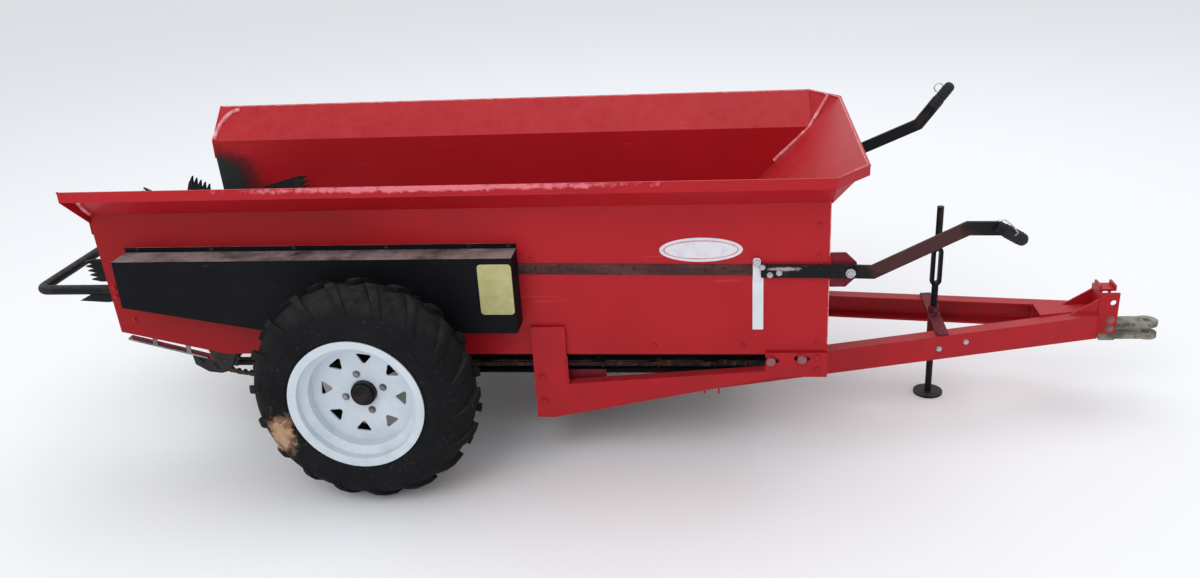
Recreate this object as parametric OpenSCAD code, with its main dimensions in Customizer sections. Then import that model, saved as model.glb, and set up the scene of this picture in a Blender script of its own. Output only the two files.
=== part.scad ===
// Ground-driven tow-behind manure spreader. Millimetres. X runs forward to the hitch, Y to the left
// side, Z up. Every side piece is drawn for the right side, y below 0, and mirrored for the left.

/* [Box] */
// Half of the width over the side walls
box_half_w = 360; // [330:5:400]
// Distance from the axle back to the rear edge of the walls
box_rear = 735; // [700:5:820]
// Distance from the axle forward to the front edge of the walls
box_front = 1126; // [1060:5:1240]
// Height above the axle of the bend where the flare starts
bend_h = 404; // [380:2:440]
// Height above the axle of the top edge
top_h = 493; // [460:2:540]
// How far each flare leans out
flare_out = 100; // [70:5:130]
// Depth of the lip folded down along the top edge
lip_h = 26; // [16:1:34]
// Thickness of the sheet
sheet_t = 3; // [2:0.5:5]
// Height above the axle of the side walls' lower edge
wall_low_h = 10; // [0:1:14]
// Height above the axle of the side walls' lower rear corner
wall_rear_h = 74; // [60:1:90]
// Forward run of the sloping front panel for each unit of its height
panel_slope = 0.955; // [0.7:0.005:1.1]
// Height above the axle of the front panel's lower edge
panel_low_h = 70; // [62:1:90]

/* [Wheels] */
// Radius of a wheel over the lugs
tyre_r = 290; // [270:1:320]
// Width of a tyre
tyre_w = 170; // [150:2:190]
// Gap between a side wall and the tyre beside it
wheel_gap = 92; // [86:1:110]
// Radius of the rim's flange
rim_r = 168; // [155:1:180]
// Radius of the axle
axle_r = 16; // [12:0.5:18]
// Radial play of a turning hub or shaft in its bore
running_play = 0.05; // [0.02:0.01:0.1]
// Number of lugs on each side of a tyre
lugs = 18; // [14:1:22]
// Height of a lug
lug_h = 14; // [8:1:18]

/* [Apron] */
// Distance from the axle back to the apron's rear shaft
apron_rear = 450; // [420:5:470]
// Distance from the front edge of the walls back to the apron's front shaft
apron_front_in = 86; // [70:2:100]
// Radius of the apron chains' centre line round the shafts
chain_r = 32; // [30:1:36]
// Gap between the end of a slat and the wall
slat_play = 27; // [10:1:60]
// Distance from the end of a slat to a chain
chain_in = 20; // [15:5:60]
// Number of slats on the loop
slats = 22; // [16:1:26]
// Number of links in an apron chain
links = 46; // [44:1:60]

/* [Beater] */
// Distance from the rear edge of the walls forward to the beater's shaft
beater_in = 123; // [110:1:140]
// Height above the axle of the beater's shaft
beater_h = 222; // [214:1:240]
// Radius over the beater's teeth
beater_r = 212; // [180:1:214]
// Radius of the beater's tube
beater_tube_r = 30; // [24:1:40]
// Number of teeth on a paddle
teeth = 5; // [3:1:6]
// Distance from the rear edge of the walls back to the guard hoop
guard_out = 214; // [170:1:240]

/* [Tongue] */
// Height of the tongue's top at the hitch post
tongue_z = 262; // [250:1:280]
// Fall of the tongue from the post back to the box, for each unit of its length
tongue_fall = 0.039; // [0:0.001:0.05]
// Depth of a tongue beam
tongue_h = 67; // [60:1:76]
// Half of the tongue's width at the hitch post
tongue_tip = 49; // [46:1:60]
// Spread of each beam from the post back to the box, for each unit of its length
tongue_spread = 0.218; // [0.15:0.002:0.25]
// Depth of the filler between the beams' front ends
pole_h = 60; // [50:1:66]
// Distance from the axle forward to the hitch post
post_x = 1866; // [1800:2:1950]
// Distance from the hitch post's rear face to the clevis pin
pin_out = 140; // [120:1:160]
// Radius of the clevis pin's hole
pin_r = 11; // [9:0.5:13]
// Distance from the hitch post back to the parking leg
leg_back = 420; // [396:2:440]
// Height of the top of the parking leg
leg_top_z = 557; // [500:1:600]
// Radius of the parking leg
leg_r = 9; // [7:0.5:11]

/* [Drive cover] */
// Depth of the drive cover out from the wall
cover_d = 72; // [50:1:76]
// Height above the axle of the drive cover's top
cover_h = 300; // [290:1:320]

/* [Levers] */
// Distance from the front edge of the walls forward to the levers' pivot
pivot_out = 47; // [36:1:60]
// Height above the axle of the levers' pivot
pivot_h = 233; // [225:1:260]
// Width of a lever's bar
lever_w = 33; // [24:1:36]
// Thickness of a lever's bar
lever_t = 8; // [6:1:10]

/* [Hidden] */
$fn = 48;
red = [0.66, 0.10, 0.13];
black = [0.06, 0.06, 0.07];
steel = [0.55, 0.55, 0.56];
rusty = [0.42, 0.33, 0.27];
white = [0.88, 0.88, 0.87];
rubber = [0.09, 0.09, 0.09];

// Clearance between pieces that lie against each other, and the overshoot of a cut
fit = 0.3;
cut = 1;

// Heights and places that follow from the driving dimensions
axle_z = tyre_r;
bend_z = axle_z + bend_h;
top_z = axle_z + top_h;
wall_low_z = axle_z + wall_low_h;
wall_rear_z = axle_z + wall_rear_h;
panel_low_z = axle_z + panel_low_h;
inner_half_w = box_half_w - sheet_t;
top_half_w = box_half_w + flare_out;
wheel_y = box_half_w + wheel_gap + tyre_w / 2;
panel_top_x = box_front + panel_slope * (top_z - bend_z);
panel_low_x = box_front - panel_slope * (bend_z - panel_low_z);
slant_t = sheet_t * norm([1, panel_slope]);
clevis_end = 29;
clevis_x = post_x + pin_out + clevis_end;
leg_x = post_x - leg_back;
guard_r = 13;
guard_x = -box_rear - guard_out;
guard_h = 190;
guard_z = axle_z + guard_h;
// The origin lies under the middle of the whole length, so everything moves back by this much
shift_x = -(guard_x + clevis_x) / 2;

// A plate standing in the X-Z plane, from y0 to y0 + t
module plate_xz(points, y0, t) {
    translate([0, y0 + t, 0]) rotate([90, 0, 0]) linear_extrude(t) polygon(points);
}

// A prism along X of a Y-Z outline
module prism_x(points, x0, len) {
    translate([x0, 0, 0]) rotate([90, 0, 90]) linear_extrude(len) polygon(points);
}

// A cylinder along Y, from y0 to y1
module rod_y(x, z, r, y0, y1) {
    translate([x, y1, z]) rotate([90, 0, 0]) cylinder(r = r, h = y1 - y0);
}

// Outline of a ribbon of width w along a path, with mitred bends
function unit(v) = v / norm(v);
function mitre(path, k, w) =
    let (a = k > 0 ? unit(path[k] - path[k - 1]) : unit(path[1] - path[0]),
        b = k < len(path) - 1 ? unit(path[k + 1] - path[k]) : a,
        m = unit(a + b))
    [-m.y, m.x] * w / 2 / (m * b);
function ribbon(path, w) = concat(
    [for (k = [0:len(path) - 1]) path[k] + mitre(path, k, w)],
    [for (k = [len(path) - 1:-1:0]) path[k] - mitre(path, k, w)]);

// A slot with round ends from p to q, in the X-Z plane
module slot_xz(p, q, w, y0, t) {
    d = q - p;
    translate([p.x, y0 + t, p.y]) rotate([90, 0, 0]) linear_extrude(t) {
        rotate(atan2(d.y, d.x)) translate([0, -w / 2]) square([norm(d), w]);
        circle(w / 2);
        translate(d) circle(w / 2);
    }
}

// A folded edge of depth d from y0, along the line from p to q, on its upper left
module edge_xz(p, q, t, y0, d) {
    v = unit(q - p);
    n = [-v.y, v.x] * t;
    plate_xz([p, q, q + n, p + n], y0, d);
}

module left() {
    mirror([0, 1, 0]) children();
}

module placed() {
    translate([shift_x, 0, 0]) children();
}

// Side walls with their flares and lips, and slots for the apron's take-up bolts
front_plate_low_z = axle_z - 48;
front_plate_len = 151;
front_plate_x = box_front - front_plate_len;
rear_cut_x = 10 - apron_rear;
rear_lean = 14;
flare_end_h = 24;
slot_r = 7;
slot_back = 12;
slot_ahead = 14;
shaft_r = 16;
beater_x = beater_in - box_rear;
beater_z = axle_z + beater_h;
beater_hole_r = shaft_r + 8;
axle_hole_r = axle_r + 6;
// Take-up slots for the apron's front shaft: x, z
take_up = [[box_front - 138, axle_z - 3], [box_front - 62, axle_z + 3]];

module take_up_slots(y0, t) {
    for (s = take_up) slot_xz(s - [slot_back, 0], s + [slot_ahead, 0], 2 * slot_r, y0 - cut, t + 2 * cut);
}

module side_wall() {
    color(red) difference() {
        union() {
            plate_xz([[-box_rear, bend_z], [rear_lean - box_rear, wall_rear_z], [rear_cut_x, wall_low_z],
                [front_plate_x, wall_low_z], [front_plate_x, front_plate_low_z],
                [box_front, front_plate_low_z], [box_front, bend_z]], -box_half_w, sheet_t);
            prism_x([[-box_half_w, bend_z], [-inner_half_w, bend_z],
                [-top_half_w + slant_t, top_z], [-top_half_w, top_z], [-top_half_w, top_z - lip_h],
                [-top_half_w + sheet_t, top_z - lip_h], [-top_half_w + sheet_t, top_z - slant_t]],
                -box_rear, box_rear + box_front);
            prism_x([[-box_half_w, bend_z - flare_end_h], [-box_half_w, bend_z], [-top_half_w, top_z],
                [-top_half_w, top_z - lip_h]], -box_rear, sheet_t);
        }
        rod_y(beater_x, beater_z, beater_hole_r, -box_half_w - cut, -inner_half_w + cut);
        rod_y(0, axle_z, axle_hole_r, -box_half_w - cut, -inner_half_w + cut);
        take_up_slots(-box_half_w, sheet_t);
    }
}

module front_panel() {
    color(red) {
        translate([0, inner_half_w, 0]) rotate([90, 0, 0]) linear_extrude(2 * inner_half_w) {
            polygon([[panel_low_x, panel_low_z], [panel_top_x, top_z],
                [panel_top_x - slant_t, top_z], [panel_low_x - slant_t, panel_low_z]]);
            translate([panel_top_x - slant_t, top_z - lip_h]) square([slant_t, lip_h]);
        }
    }
}

// Three-cornered plate that closes the gap between a flare and the front panel, with its lip
module corner() {
    a = [box_front, -box_half_w, bend_z];
    b = [box_front, -top_half_w, top_z];
    c = [panel_top_x, -inner_half_w, top_z];
    u = unit(cross(b - a, c - a)) * sheet_t;
    drop = [0, 0, -lip_h];
    run = unit(c - b);
    out = [run.y, -run.x, 0] * sheet_t;
    reach = 2 * box_half_w;
    color(red) difference() {
        union() {
            polyhedron([a, b, c, a - u, b - u, c - u],
                [[0, 2, 1], [3, 4, 5], [0, 1, 4, 3], [1, 2, 5, 4], [2, 0, 3, 5]]);
            polyhedron([b, c, c - out, b - out, b + drop, c + drop, c - out + drop, b - out + drop],
                [[0, 3, 2, 1], [4, 5, 6, 7], [0, 1, 5, 4], [1, 2, 6, 5], [2, 3, 7, 6], [3, 0, 4, 7]]);
        }
        translate([box_front + fit - reach, -reach, bend_z - reach]) cube([reach, reach, 2 * reach]);
        translate([box_front - reach, -inner_half_w - fit, bend_z - reach])
            cube([2 * reach, reach, 2 * reach]);
    }
}

// Deck that the apron's upper run slides on
chain_t = 12;
apron_z = axle_z - 2;
apron_front = box_front - apron_front_in;
chain_in_r = chain_r - chain_t / 2;
deck_top_z = apron_z + chain_in_r - fit;
deck_end_gap = 40;

module deck() {
    rear = -apron_rear + deck_end_gap;
    color(black) translate([rear, -inner_half_w, deck_top_z - sheet_t])
        cube([apron_front - deck_end_gap - rear, 2 * inner_half_w, sheet_t]);
}

// Strip hung below the rear of a side wall on two tabs
runner_w = 22;
runner_t = 5;
tab_w = 12;
module runner() {
    p = [-apron_rear - 46, wall_low_z - 17];
    q = [26 - box_rear, wall_rear_z - 25];
    v = q - p;
    color(steel) {
        plate_xz([p, q, q + [0, runner_t], p + [0, runner_t]], -inner_half_w, runner_w);
        for (share = [0.26, 0.68]) {
            translate([p.x + share * v.x, -inner_half_w, p.y + share * v.y])
                cube([tab_w, sheet_t, 5 * tab_w]);
        }
    }
}

// Welded side frame: post, lower rail and front plate, with edges folded back to the wall
frame_x = 388;
frame_w = 87;
frame_foot_w = 47;
frame_top_h = 90;
frame_foot_drop = 168;
frame_foot_z = axle_z - frame_foot_drop;
frame_rail_h = 97;
frame_d = 10;
frame_t = 4;
// How far the rails' folded edges reach inward, past the outer face of the wall
rail_in = 20;

module side_frame() {
    y0 = -box_half_w - frame_d;
    top = axle_z + frame_top_h;
    head = [frame_x, top];
    heel = [frame_x, frame_foot_z];
    foot = [frame_x + frame_foot_w, frame_foot_z];
    toe = [box_front - 114, front_plate_low_z];
    nose = [box_front, front_plate_low_z];
    inner_low = [frame_x + frame_w, frame_foot_z + frame_rail_h];
    inner_high = [front_plate_x, front_plate_low_z + 16];
    fold_end = foot + (toe - foot) * (front_plate_x - foot.x) / (toe.x - foot.x);
    inner_end = inner_high + frame_t * unit(inner_low - inner_high);
    plate_top = wall_low_z + 8;
    color(red) {
        difference() {
            plate_xz([head, heel, foot, fold_end, toe, nose, [nose.x, plate_top], [inner_high.x, plate_top],
                inner_high, inner_end, inner_low, [inner_low.x, top]], y0, frame_t);
            take_up_slots(y0, frame_t);
        }
        edge_xz(head, heel, frame_t, y0, frame_d);
        edge_xz(heel, foot, frame_t, y0, frame_d + rail_in);
        edge_xz(foot, fold_end, frame_t, y0, frame_d + rail_in);
        edge_xz(inner_end, inner_low, frame_t, y0, frame_d + rail_in);
        edge_xz(toe, nose, frame_t, y0, frame_d);
    }
}

// Cross member between the two side frames, open below: x of its rear face, z of its lower face
cross_d = 40;
cross_h = 50;
module cross_member(x, z) {
    half = box_half_w - rail_in - fit;
    color(red) translate([x, -half, z]) difference() {
        cube([cross_d, 2 * half, cross_h]);
        translate([frame_t, -cut, -cut])
            cube([cross_d - 2 * frame_t, 2 * (half + cut), cross_h - frame_t + cut]);
    }
}

// Tongue beams: channels that run from the front cross member to the hitch post, one line in plan
// and one in height; each is cut square where it meets them
cross_front_in = 306;
cross_front_x = box_front - cross_front_in;
cross_front_low = 112;
beam_w = 38;
beam_t = 5;
tongue_turn = atan(tongue_spread);
tongue_tilt = atan(tongue_fall * cos(tongue_turn));
function beam_out(x) = tongue_tip + tongue_spread * (post_x - x);
function beam_top(x) = tongue_z - tongue_fall * (post_x - x);
module beam() {
    run = 1.1 * (post_x - cross_front_x);
    over = 2 * beam_w;
    color(red) difference() {
        translate([post_x, -beam_out(post_x), tongue_z]) rotate([0, -tongue_tilt, tongue_turn])
            difference() {
                translate([-run, 0, -tongue_h]) cube([run + over, beam_w, tongue_h]);
                translate([-run - cut, beam_t, beam_t - tongue_h])
                    cube([run + over + 2 * cut, beam_w, tongue_h - 2 * beam_t]);
            }
        translate([post_x, -post_x, 0]) cube(2 * post_x);
        translate([cross_front_x + cross_d - 2 * post_x, -post_x, 0]) cube(2 * post_x);
    }
}

// Wedge-shaped filler between the beams' front ends
pole_len = 150;
module pole() {
    x0 = post_x - pole_len;
    inner = beam_w / cos(tongue_turn) + 2 * fit;
    wide = beam_out(x0) - inner;
    slim = beam_out(post_x) - inner;
    color(red) translate([0, 0, tongue_z - pole_h]) difference() {
        linear_extrude(pole_h) polygon([[x0, -wide], [post_x, -slim], [post_x, slim], [x0, wide]]);
        translate([0, 0, beam_t]) linear_extrude(pole_h - 2 * beam_t)
            polygon([[x0 - cut, beam_t - wide], [post_x - beam_t, beam_t - slim],
                [post_x - beam_t, slim - beam_t], [x0 - cut, wide - beam_t]]);
    }
}

// Upright channel with two gussets, a row of holes and a cap
post_w = 76;
post_d = 50;
post_t = 6;
post_low_z = tongue_z - 58;
post_top_z = tongue_z + 60;
post_hole_r = 8;
post_hole_in = 14;
post_holes = [tongue_z - 42, tongue_z - 17, tongue_z + 32];
cap_w = 44;
cap_h = 16;
gusset_len = 72;
gusset_drop = 16;
gusset_t = 5;
module hitch_post() {
    color(red) {
        difference() {
            translate([post_x, -post_w / 2, post_low_z]) cube([post_d, post_w, post_top_z - post_low_z]);
            translate([post_x + post_t, -post_w / 2 + post_t, post_low_z - cut])
                cube([post_d, post_w - 2 * post_t, post_top_z - post_low_z + 2 * cut]);
            for (z = post_holes) {
                rod_y(post_x + post_d - post_hole_in, z, post_hole_r, -post_w / 2 - cut, post_w / 2 + cut);
            }
        }
        for (y = [-post_w / 2, post_w / 2 - gusset_t]) {
            plate_xz([[post_x - gusset_len, beam_top(post_x - gusset_len) + 2 * fit],
                [post_x, tongue_z + fit], [post_x, post_top_z - gusset_drop]], y, gusset_t);
        }
        translate([post_x, -cap_w / 2, post_top_z]) difference() {
            cube([cap_w, cap_w, cap_h]);
            translate([post_t, -cut, post_t]) cube([cap_w - 2 * post_t, cap_w + 2 * cut, cap_h]);
        }
    }
}

// Clevis bolted in the post: two straps with an upright pin hole
clevis_z = tongue_z - 80;
clevis_t = 12;
clevis_gap = 22;
clevis_in = 12;
strap_w = 48;
module clevis() {
    half = post_w / 2 - post_t - fit;
    top = clevis_z + 2 * clevis_t + clevis_gap;
    pin_x = post_x + pin_out;
    block = 40;
    color(rusty) difference() {
        union() {
            translate([post_x + clevis_in, -half, clevis_z]) cube([block, 2 * half, top - clevis_z]);
            for (z = [clevis_z, top - clevis_t]) {
                translate([post_x + post_d, -strap_w / 2, z])
                    cube([pin_x - post_x - post_d, strap_w, clevis_t]);
                translate([pin_x, 0, z]) cylinder(r = clevis_end, h = clevis_t);
            }
        }
        translate([pin_x, 0, clevis_z - cut]) cylinder(r = pin_r, h = top - clevis_z + 2 * cut);
    }
}

// Sleeve for the parking leg, held on a plate that lies across the tongue's beams
leg_y = 8;
leg_foot_r = 40;
leg_foot_t = 6;
sleeve_under = 57;
sleeve_over = 25;
sleeve_low_z = beam_top(leg_x) - sleeve_under;
sleeve_top_z = beam_top(leg_x) + sleeve_over;
sleeve_t = 5;
bracket_w = 30;
module leg_bracket() {
    color(black) difference() {
        union() {
            translate([leg_x, leg_y, sleeve_low_z])
                cylinder(r = leg_r + sleeve_t, h = sleeve_top_z - sleeve_low_z);
            translate([leg_x, -beam_out(leg_x), beam_top(leg_x) + 2 * fit]) rotate([0, -tongue_tilt, 0])
                translate([-bracket_w / 2, 0, 0]) cube([bracket_w, 2 * beam_out(leg_x), leg_foot_t]);
        }
        translate([leg_x, leg_y, sleeve_low_z - cut])
            cylinder(r = leg_r + running_play, h = sleeve_top_z - sleeve_low_z + 2 * cut);
    }
}

// Leg: a rod with a long eye to lift it by, and a round foot
eye_low = 212;
eye_h = 114;
eye_w = 31;
eye_slot_w = 9;
module parking_leg() {
    eye_z = leg_top_z - eye_low;
    color(black) {
        translate([leg_x, leg_y, 0]) cylinder(r = leg_foot_r, h = leg_foot_t);
        difference() {
            union() {
                translate([leg_x, leg_y, leg_foot_t - cut])
                    cylinder(r = leg_r, h = leg_top_z - leg_foot_t + cut);
                slot_xz([leg_x, eye_z], [leg_x, eye_z + eye_h - eye_w], eye_w, leg_y - leg_r / 2, leg_r);
            }
            slot_xz([leg_x, eye_z], [leg_x, eye_z + eye_h - eye_w], eye_slot_w, leg_y - 2 * leg_r, 4 * leg_r);
        }
    }
}

// Axle and its bearings
axle_past = 30;
axle_end = wheel_y + axle_past;
module axle() {
    color(steel) rod_y(0, axle_z, axle_r, -axle_end, axle_end);
}

bearing_t = 20;
bearing_plate_t = 8;
bearing_half = 50;
module bearing() {
    y0 = -box_half_w - bearing_t;
    top = wall_low_z + 60;
    low = axle_z - axle_r - 18;
    color(black) difference() {
        union() {
            plate_xz([[-bearing_half, top], [-bearing_half, axle_z - 10], [-bearing_half / 2, low],
                [bearing_half / 2, low], [bearing_half, axle_z - 10], [bearing_half, top]],
                -box_half_w - bearing_plate_t, bearing_plate_t);
            rod_y(0, axle_z, axle_r + 14, y0, y0 + bearing_t);
        }
        rod_y(0, axle_z, axle_r + running_play, y0 - cut, y0 + bearing_t + cut);
    }
}

// A profile of radius and place along Y, turned about the wheel's axle
module turned(points) {
    translate([0, -wheel_y, axle_z]) rotate([90, 0, 0]) rotate_extrude() polygon(points);
}

// Pressed rim: flanges, bead seats, well and a dished disc with eight windows and four bolt holes
rim_half = tyre_w / 2 - 2;
rim_t = 4;
seat_r = rim_r - 16;
well_r = rim_r - 34;
well_half = 46;
hub_r = 31;
windows = 8;
window_low = well_r - 54;
window_top = well_r - 28;
window_half = 19;
window_turn = 7.5;
bolt_circle_r = 50.8;
bolt_r = 7;
disc_y = 6;
module rim() {
    h = rim_half;
    y_seat = well_half + 12;
    color(white) difference() {
        union() {
            turned([[rim_r, -h], [rim_r, rim_t - h], [seat_r, rim_t + 3 - h], [seat_r, -y_seat],
                [well_r, -well_half], [well_r, well_half], [seat_r, y_seat], [seat_r, h - rim_t - 3],
                [rim_r, h - rim_t], [rim_r, h], [rim_r - rim_t, h], [seat_r - rim_t, h - rim_t],
                [seat_r - rim_t, y_seat + 2], [well_r - rim_t, well_half + 2],
                [well_r - rim_t, -well_half - 2], [seat_r - rim_t, -y_seat - 2],
                [seat_r - rim_t, rim_t - h], [rim_r - rim_t, -h]]);
            turned([[hub_r + fit, disc_y], [hub_r + fit, disc_y + 5], [well_r - 2, disc_y + 15],
                [well_r - 2, disc_y + 10]]);
        }
        for (k = [0:windows - 1]) {
            translate([0, -wheel_y, axle_z]) rotate([90, 360 * k / windows + window_turn, 0])
                translate([0, 0, disc_y - 10]) linear_extrude(40)
                    polygon([[window_low, -3], [window_top - 4, -window_half],
                        [window_top, 4 - window_half], [window_top, window_half - 4],
                        [window_top - 4, window_half], [window_low, 3]]);
        }
        for (k = [0:3]) {
            translate([0, -wheel_y, axle_z]) rotate([90, -2 * window_turn - 90 * k, 0])
                translate([bolt_circle_r, 0, disc_y - 10]) cylinder(r = bolt_r, h = 30);
        }
    }
}

// Tyre: a faceted ring, two facets to a lug, and slanted lugs that meet near the middle in turn
module ring(profile, n) {
    m = len(profile);
    points = [for (k = [0:n - 1], p = profile)
        let (a = 360 * (k + 0.5) / n) [p.x * sin(a), p.y, p.x * cos(a)]];
    faces = [for (k = [0:n - 1], j = [0:m - 1])
        [k * m + j, (k + 1) % n * m + j, (k + 1) % n * m + (j + 1) % m, k * m + (j + 1) % m]];
    polyhedron(points, faces);
}

lug_w = 28;
lug_len = 84;
lug_slant = 24;
lug_lean = 24;
lug_root = 26;
lug_in = 3;
lug_sink = 1;
module tyre() {
    n = 2 * lugs;
    h = tyre_w / 2;
    crown = (tyre_r - lug_h) / cos(180 / n);
    bead = (seat_r + fit) / cos(180 / n);
    side = [[bead, rim_half - rim_t - 3 - fit], [rim_r + 2, rim_half - rim_t - fit],
        [rim_r + 4, h - 1], [crown - 70, h], [crown - 38, h - 8], [crown - 12, h - 34], [crown, h - 70]];
    far_side = [for (k = [len(side) - 1:-1:0]) [side[k].x, -side[k].y]];
    // A lug's inner corners lie on the tyre's radius, and its outer end leans over the shoulder
    reach_x = lug_w / 2;
    top = sqrt(tyre_r * tyre_r - reach_x * reach_x) - lug_sink;
    color(rubber) translate([0, -wheel_y, axle_z]) {
        ring(concat(side, far_side), n);
        for (k = [0:lugs - 1], s = [-1, 1]) {
            rotate([0, (k + s / 4) * 360 / lugs, 0]) translate([0, s * lug_in, top])
                rotate([-s * lug_lean, 0, s * lug_slant]) scale([1, s, 1])
                    translate([-lug_w / 2, 0, -lug_root]) cube([lug_w, lug_len, lug_root]);
        }
    }
}

// Hub with a flange behind the rim's disc and a cap on the axle's end
cap_r = 30;
flange_t = 12;
module hub() {
    bore = axle_r + running_play;
    color(black) translate([0, -wheel_y, axle_z]) rotate([90, 0, 0]) difference() {
        union() {
            translate([0, 0, -50]) cylinder(r = cap_r, h = 50 + axle_past - 8);
            translate([0, 0, disc_y - flange_t]) cylinder(r = bolt_circle_r + 15, h = flange_t - fit);
            translate([0, 0, disc_y - 1]) cylinder(r = hub_r, h = 20);
            translate([0, 0, axle_past - 8]) cylinder(r = cap_r - 4, h = 12);
        }
        translate([0, 0, -50 - cut]) cylinder(r = bore, h = 50 + cut + axle_past + 0.5);
    }
}

// Apron: two chains of links joined by angle slats, as one fixed loop
run_len = apron_front + apron_rear;
loop_len = 2 * run_len + 2 * PI * chain_r;

// Place and turn of the point at distance s along the loop: x, z, angle
function loop_at(s) =
    s < run_len ? [-apron_rear + s, chain_r, 0]
    : s < run_len + PI * chain_r ?
        let (a = 90 - (s - run_len) / chain_r * 180 / PI)
        [apron_front + chain_r * cos(a), chain_r * sin(a), a - 90]
    : s < 2 * run_len + PI * chain_r ? [apron_front - (s - run_len - PI * chain_r), -chain_r, 180]
    : let (a = 270 - (s - 2 * run_len - PI * chain_r) / chain_r * 180 / PI)
        [-apron_rear + chain_r * cos(a), chain_r * sin(a), a - 90];

chain_w = 16;
chain_sides = 12;
band_t = 8;
knuckle_len = 20;
slat_w = 30;
slat_t = 4;
slat_h = 14;
chain_y = inner_half_w - slat_play - chain_in;
slat_half = inner_half_w - slat_play;

module loop_2d(r) {
    $fn = chain_sides;
    rotate(180 / $fn) circle(r);
    translate([run_len, 0]) rotate(180 / $fn) circle(r);
    translate([0, -r * cos(180 / $fn)]) square([run_len, 2 * r * cos(180 / $fn)]);
}

// In the X-Z plane, seen from the apron's rear shaft
module on_loop(share) {
    p = loop_at(share * loop_len);
    translate([p[0] + apron_rear, p[1]]) rotate(p[2]) translate([0, -chain_t / 2]) children();
}

module apron() {
    flat = 1 / cos(180 / chain_sides);
    color(rusty) translate([-apron_rear, 0, apron_z]) rotate([90, 0, 0]) {
        for (y = [-chain_y, chain_y]) {
            translate([0, 0, y - chain_w / 2]) linear_extrude(chain_w) {
                difference() {
                    loop_2d((chain_in_r + band_t) * flat);
                    loop_2d(chain_in_r * flat);
                }
                for (k = [0:links - 1]) {
                    on_loop((k + 0.5) / links) translate([-knuckle_len / 2, band_t / 2])
                        square([knuckle_len, chain_t - band_t / 2]);
                }
            }
        }
        translate([0, 0, -slat_half]) linear_extrude(2 * slat_half) for (k = [0:slats - 1]) {
            on_loop((k + 0.4) / slats) polygon([[-slat_w / 2, 0], [slat_w / 2, 0],
                [slat_w / 2, slat_t], [slat_t - slat_w / 2, slat_t], [slat_t - slat_w / 2, slat_h],
                [-slat_w / 2, slat_h]]);
        }
    }
}

apron_shaft_r = 14;
plate_t = 6;
wheel_half = 8;
module apron_shaft(x) {
    color(steel) {
        rod_y(x, apron_z, apron_shaft_r, -inner_half_w + fit, inner_half_w - fit);
        for (y = [-chain_y, chain_y]) {
            rod_y(x, apron_z, chain_in_r - fit, y - wheel_half, y + wheel_half);
        }
    }
}

// Bearing plate of an apron shaft, inside the wall: its outline is given from the shaft's centre
module shaft_plate(points, x) {
    color(steel) difference() {
        plate_xz([for (p = points) p + [x, apron_z]], -inner_half_w, plate_t);
        rod_y(x, apron_z, apron_shaft_r + running_play, -inner_half_w - cut, -inner_half_w + plate_t + cut);
    }
}

module shaft_plate_rear() {
    shaft_plate([[-18, -24], [18, -24], [40, 20], [40, 52], [-40, 52], [-40, 20]], -apron_rear);
}

// The front plate's bolts stand in the wall's take-up slots
take_up_r = 5.5;
module shaft_plate_front() {
    shaft_plate([[-56, -24], [62, -20], [62, 20], [-56, 20]], apron_front);
    outer = -box_half_w - frame_d;
    color(steel) for (s = take_up) {
        rod_y(s.x, s.y, take_up_r, outer - 3, -inner_half_w);
        rod_y(s.x, s.y, 2 * take_up_r, outer - 9, outer - fit);
    }
}

// A chain round two wheels: their places and radii, the face nearest the wall and the chain's width
drive_in = 24;
drive_w = 10;
drive_t = 8;
module chain_drive(p, rp, q, rq) {
    y = -box_half_w - drive_in - drive_w;
    d = unit(q - p);
    n = [-d.y, d.x];
    rod_y(p.x, p.y, rp, y, y + drive_w);
    rod_y(q.x, q.y, rq, y, y + drive_w);
    for (s = [-1, 1]) {
        plate_xz([p + s * rp * n, q + s * rq * n, q + s * (rq - drive_t) * n, p + s * (rp - drive_t) * n],
            y, drive_w);
    }
}

// Left: from the axle to the apron's rear shaft, with a stub through the wall
axle_wheel_r = 34;
apron_wheel_r = 46;
stub_r = 13;
module drive_left() {
    left() color(rusty) {
        difference() {
            chain_drive([0, axle_z], axle_wheel_r, [-apron_rear, apron_z], apron_wheel_r);
            rod_y(0, axle_z, axle_r + fit, -axle_end, 0);
        }
        rod_y(-apron_rear, apron_z, stub_r, -box_half_w - drive_in, -inner_half_w);
    }
}

// Right: from the axle up into the drive cover, on a stub fixed to the wall
jack_x = 60;
jack_up = 220;
jack_z = axle_z + jack_up;
jack_wheel_r = 40;
module drive_right() {
    color(rusty) {
        difference() {
            chain_drive([0, axle_z], axle_wheel_r, [jack_x, jack_z], jack_wheel_r);
            rod_y(0, axle_z, axle_r + fit, -axle_end, 0);
        }
        rod_y(jack_x, jack_z, stub_r, -box_half_w - drive_in, -box_half_w);
    }
}

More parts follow.
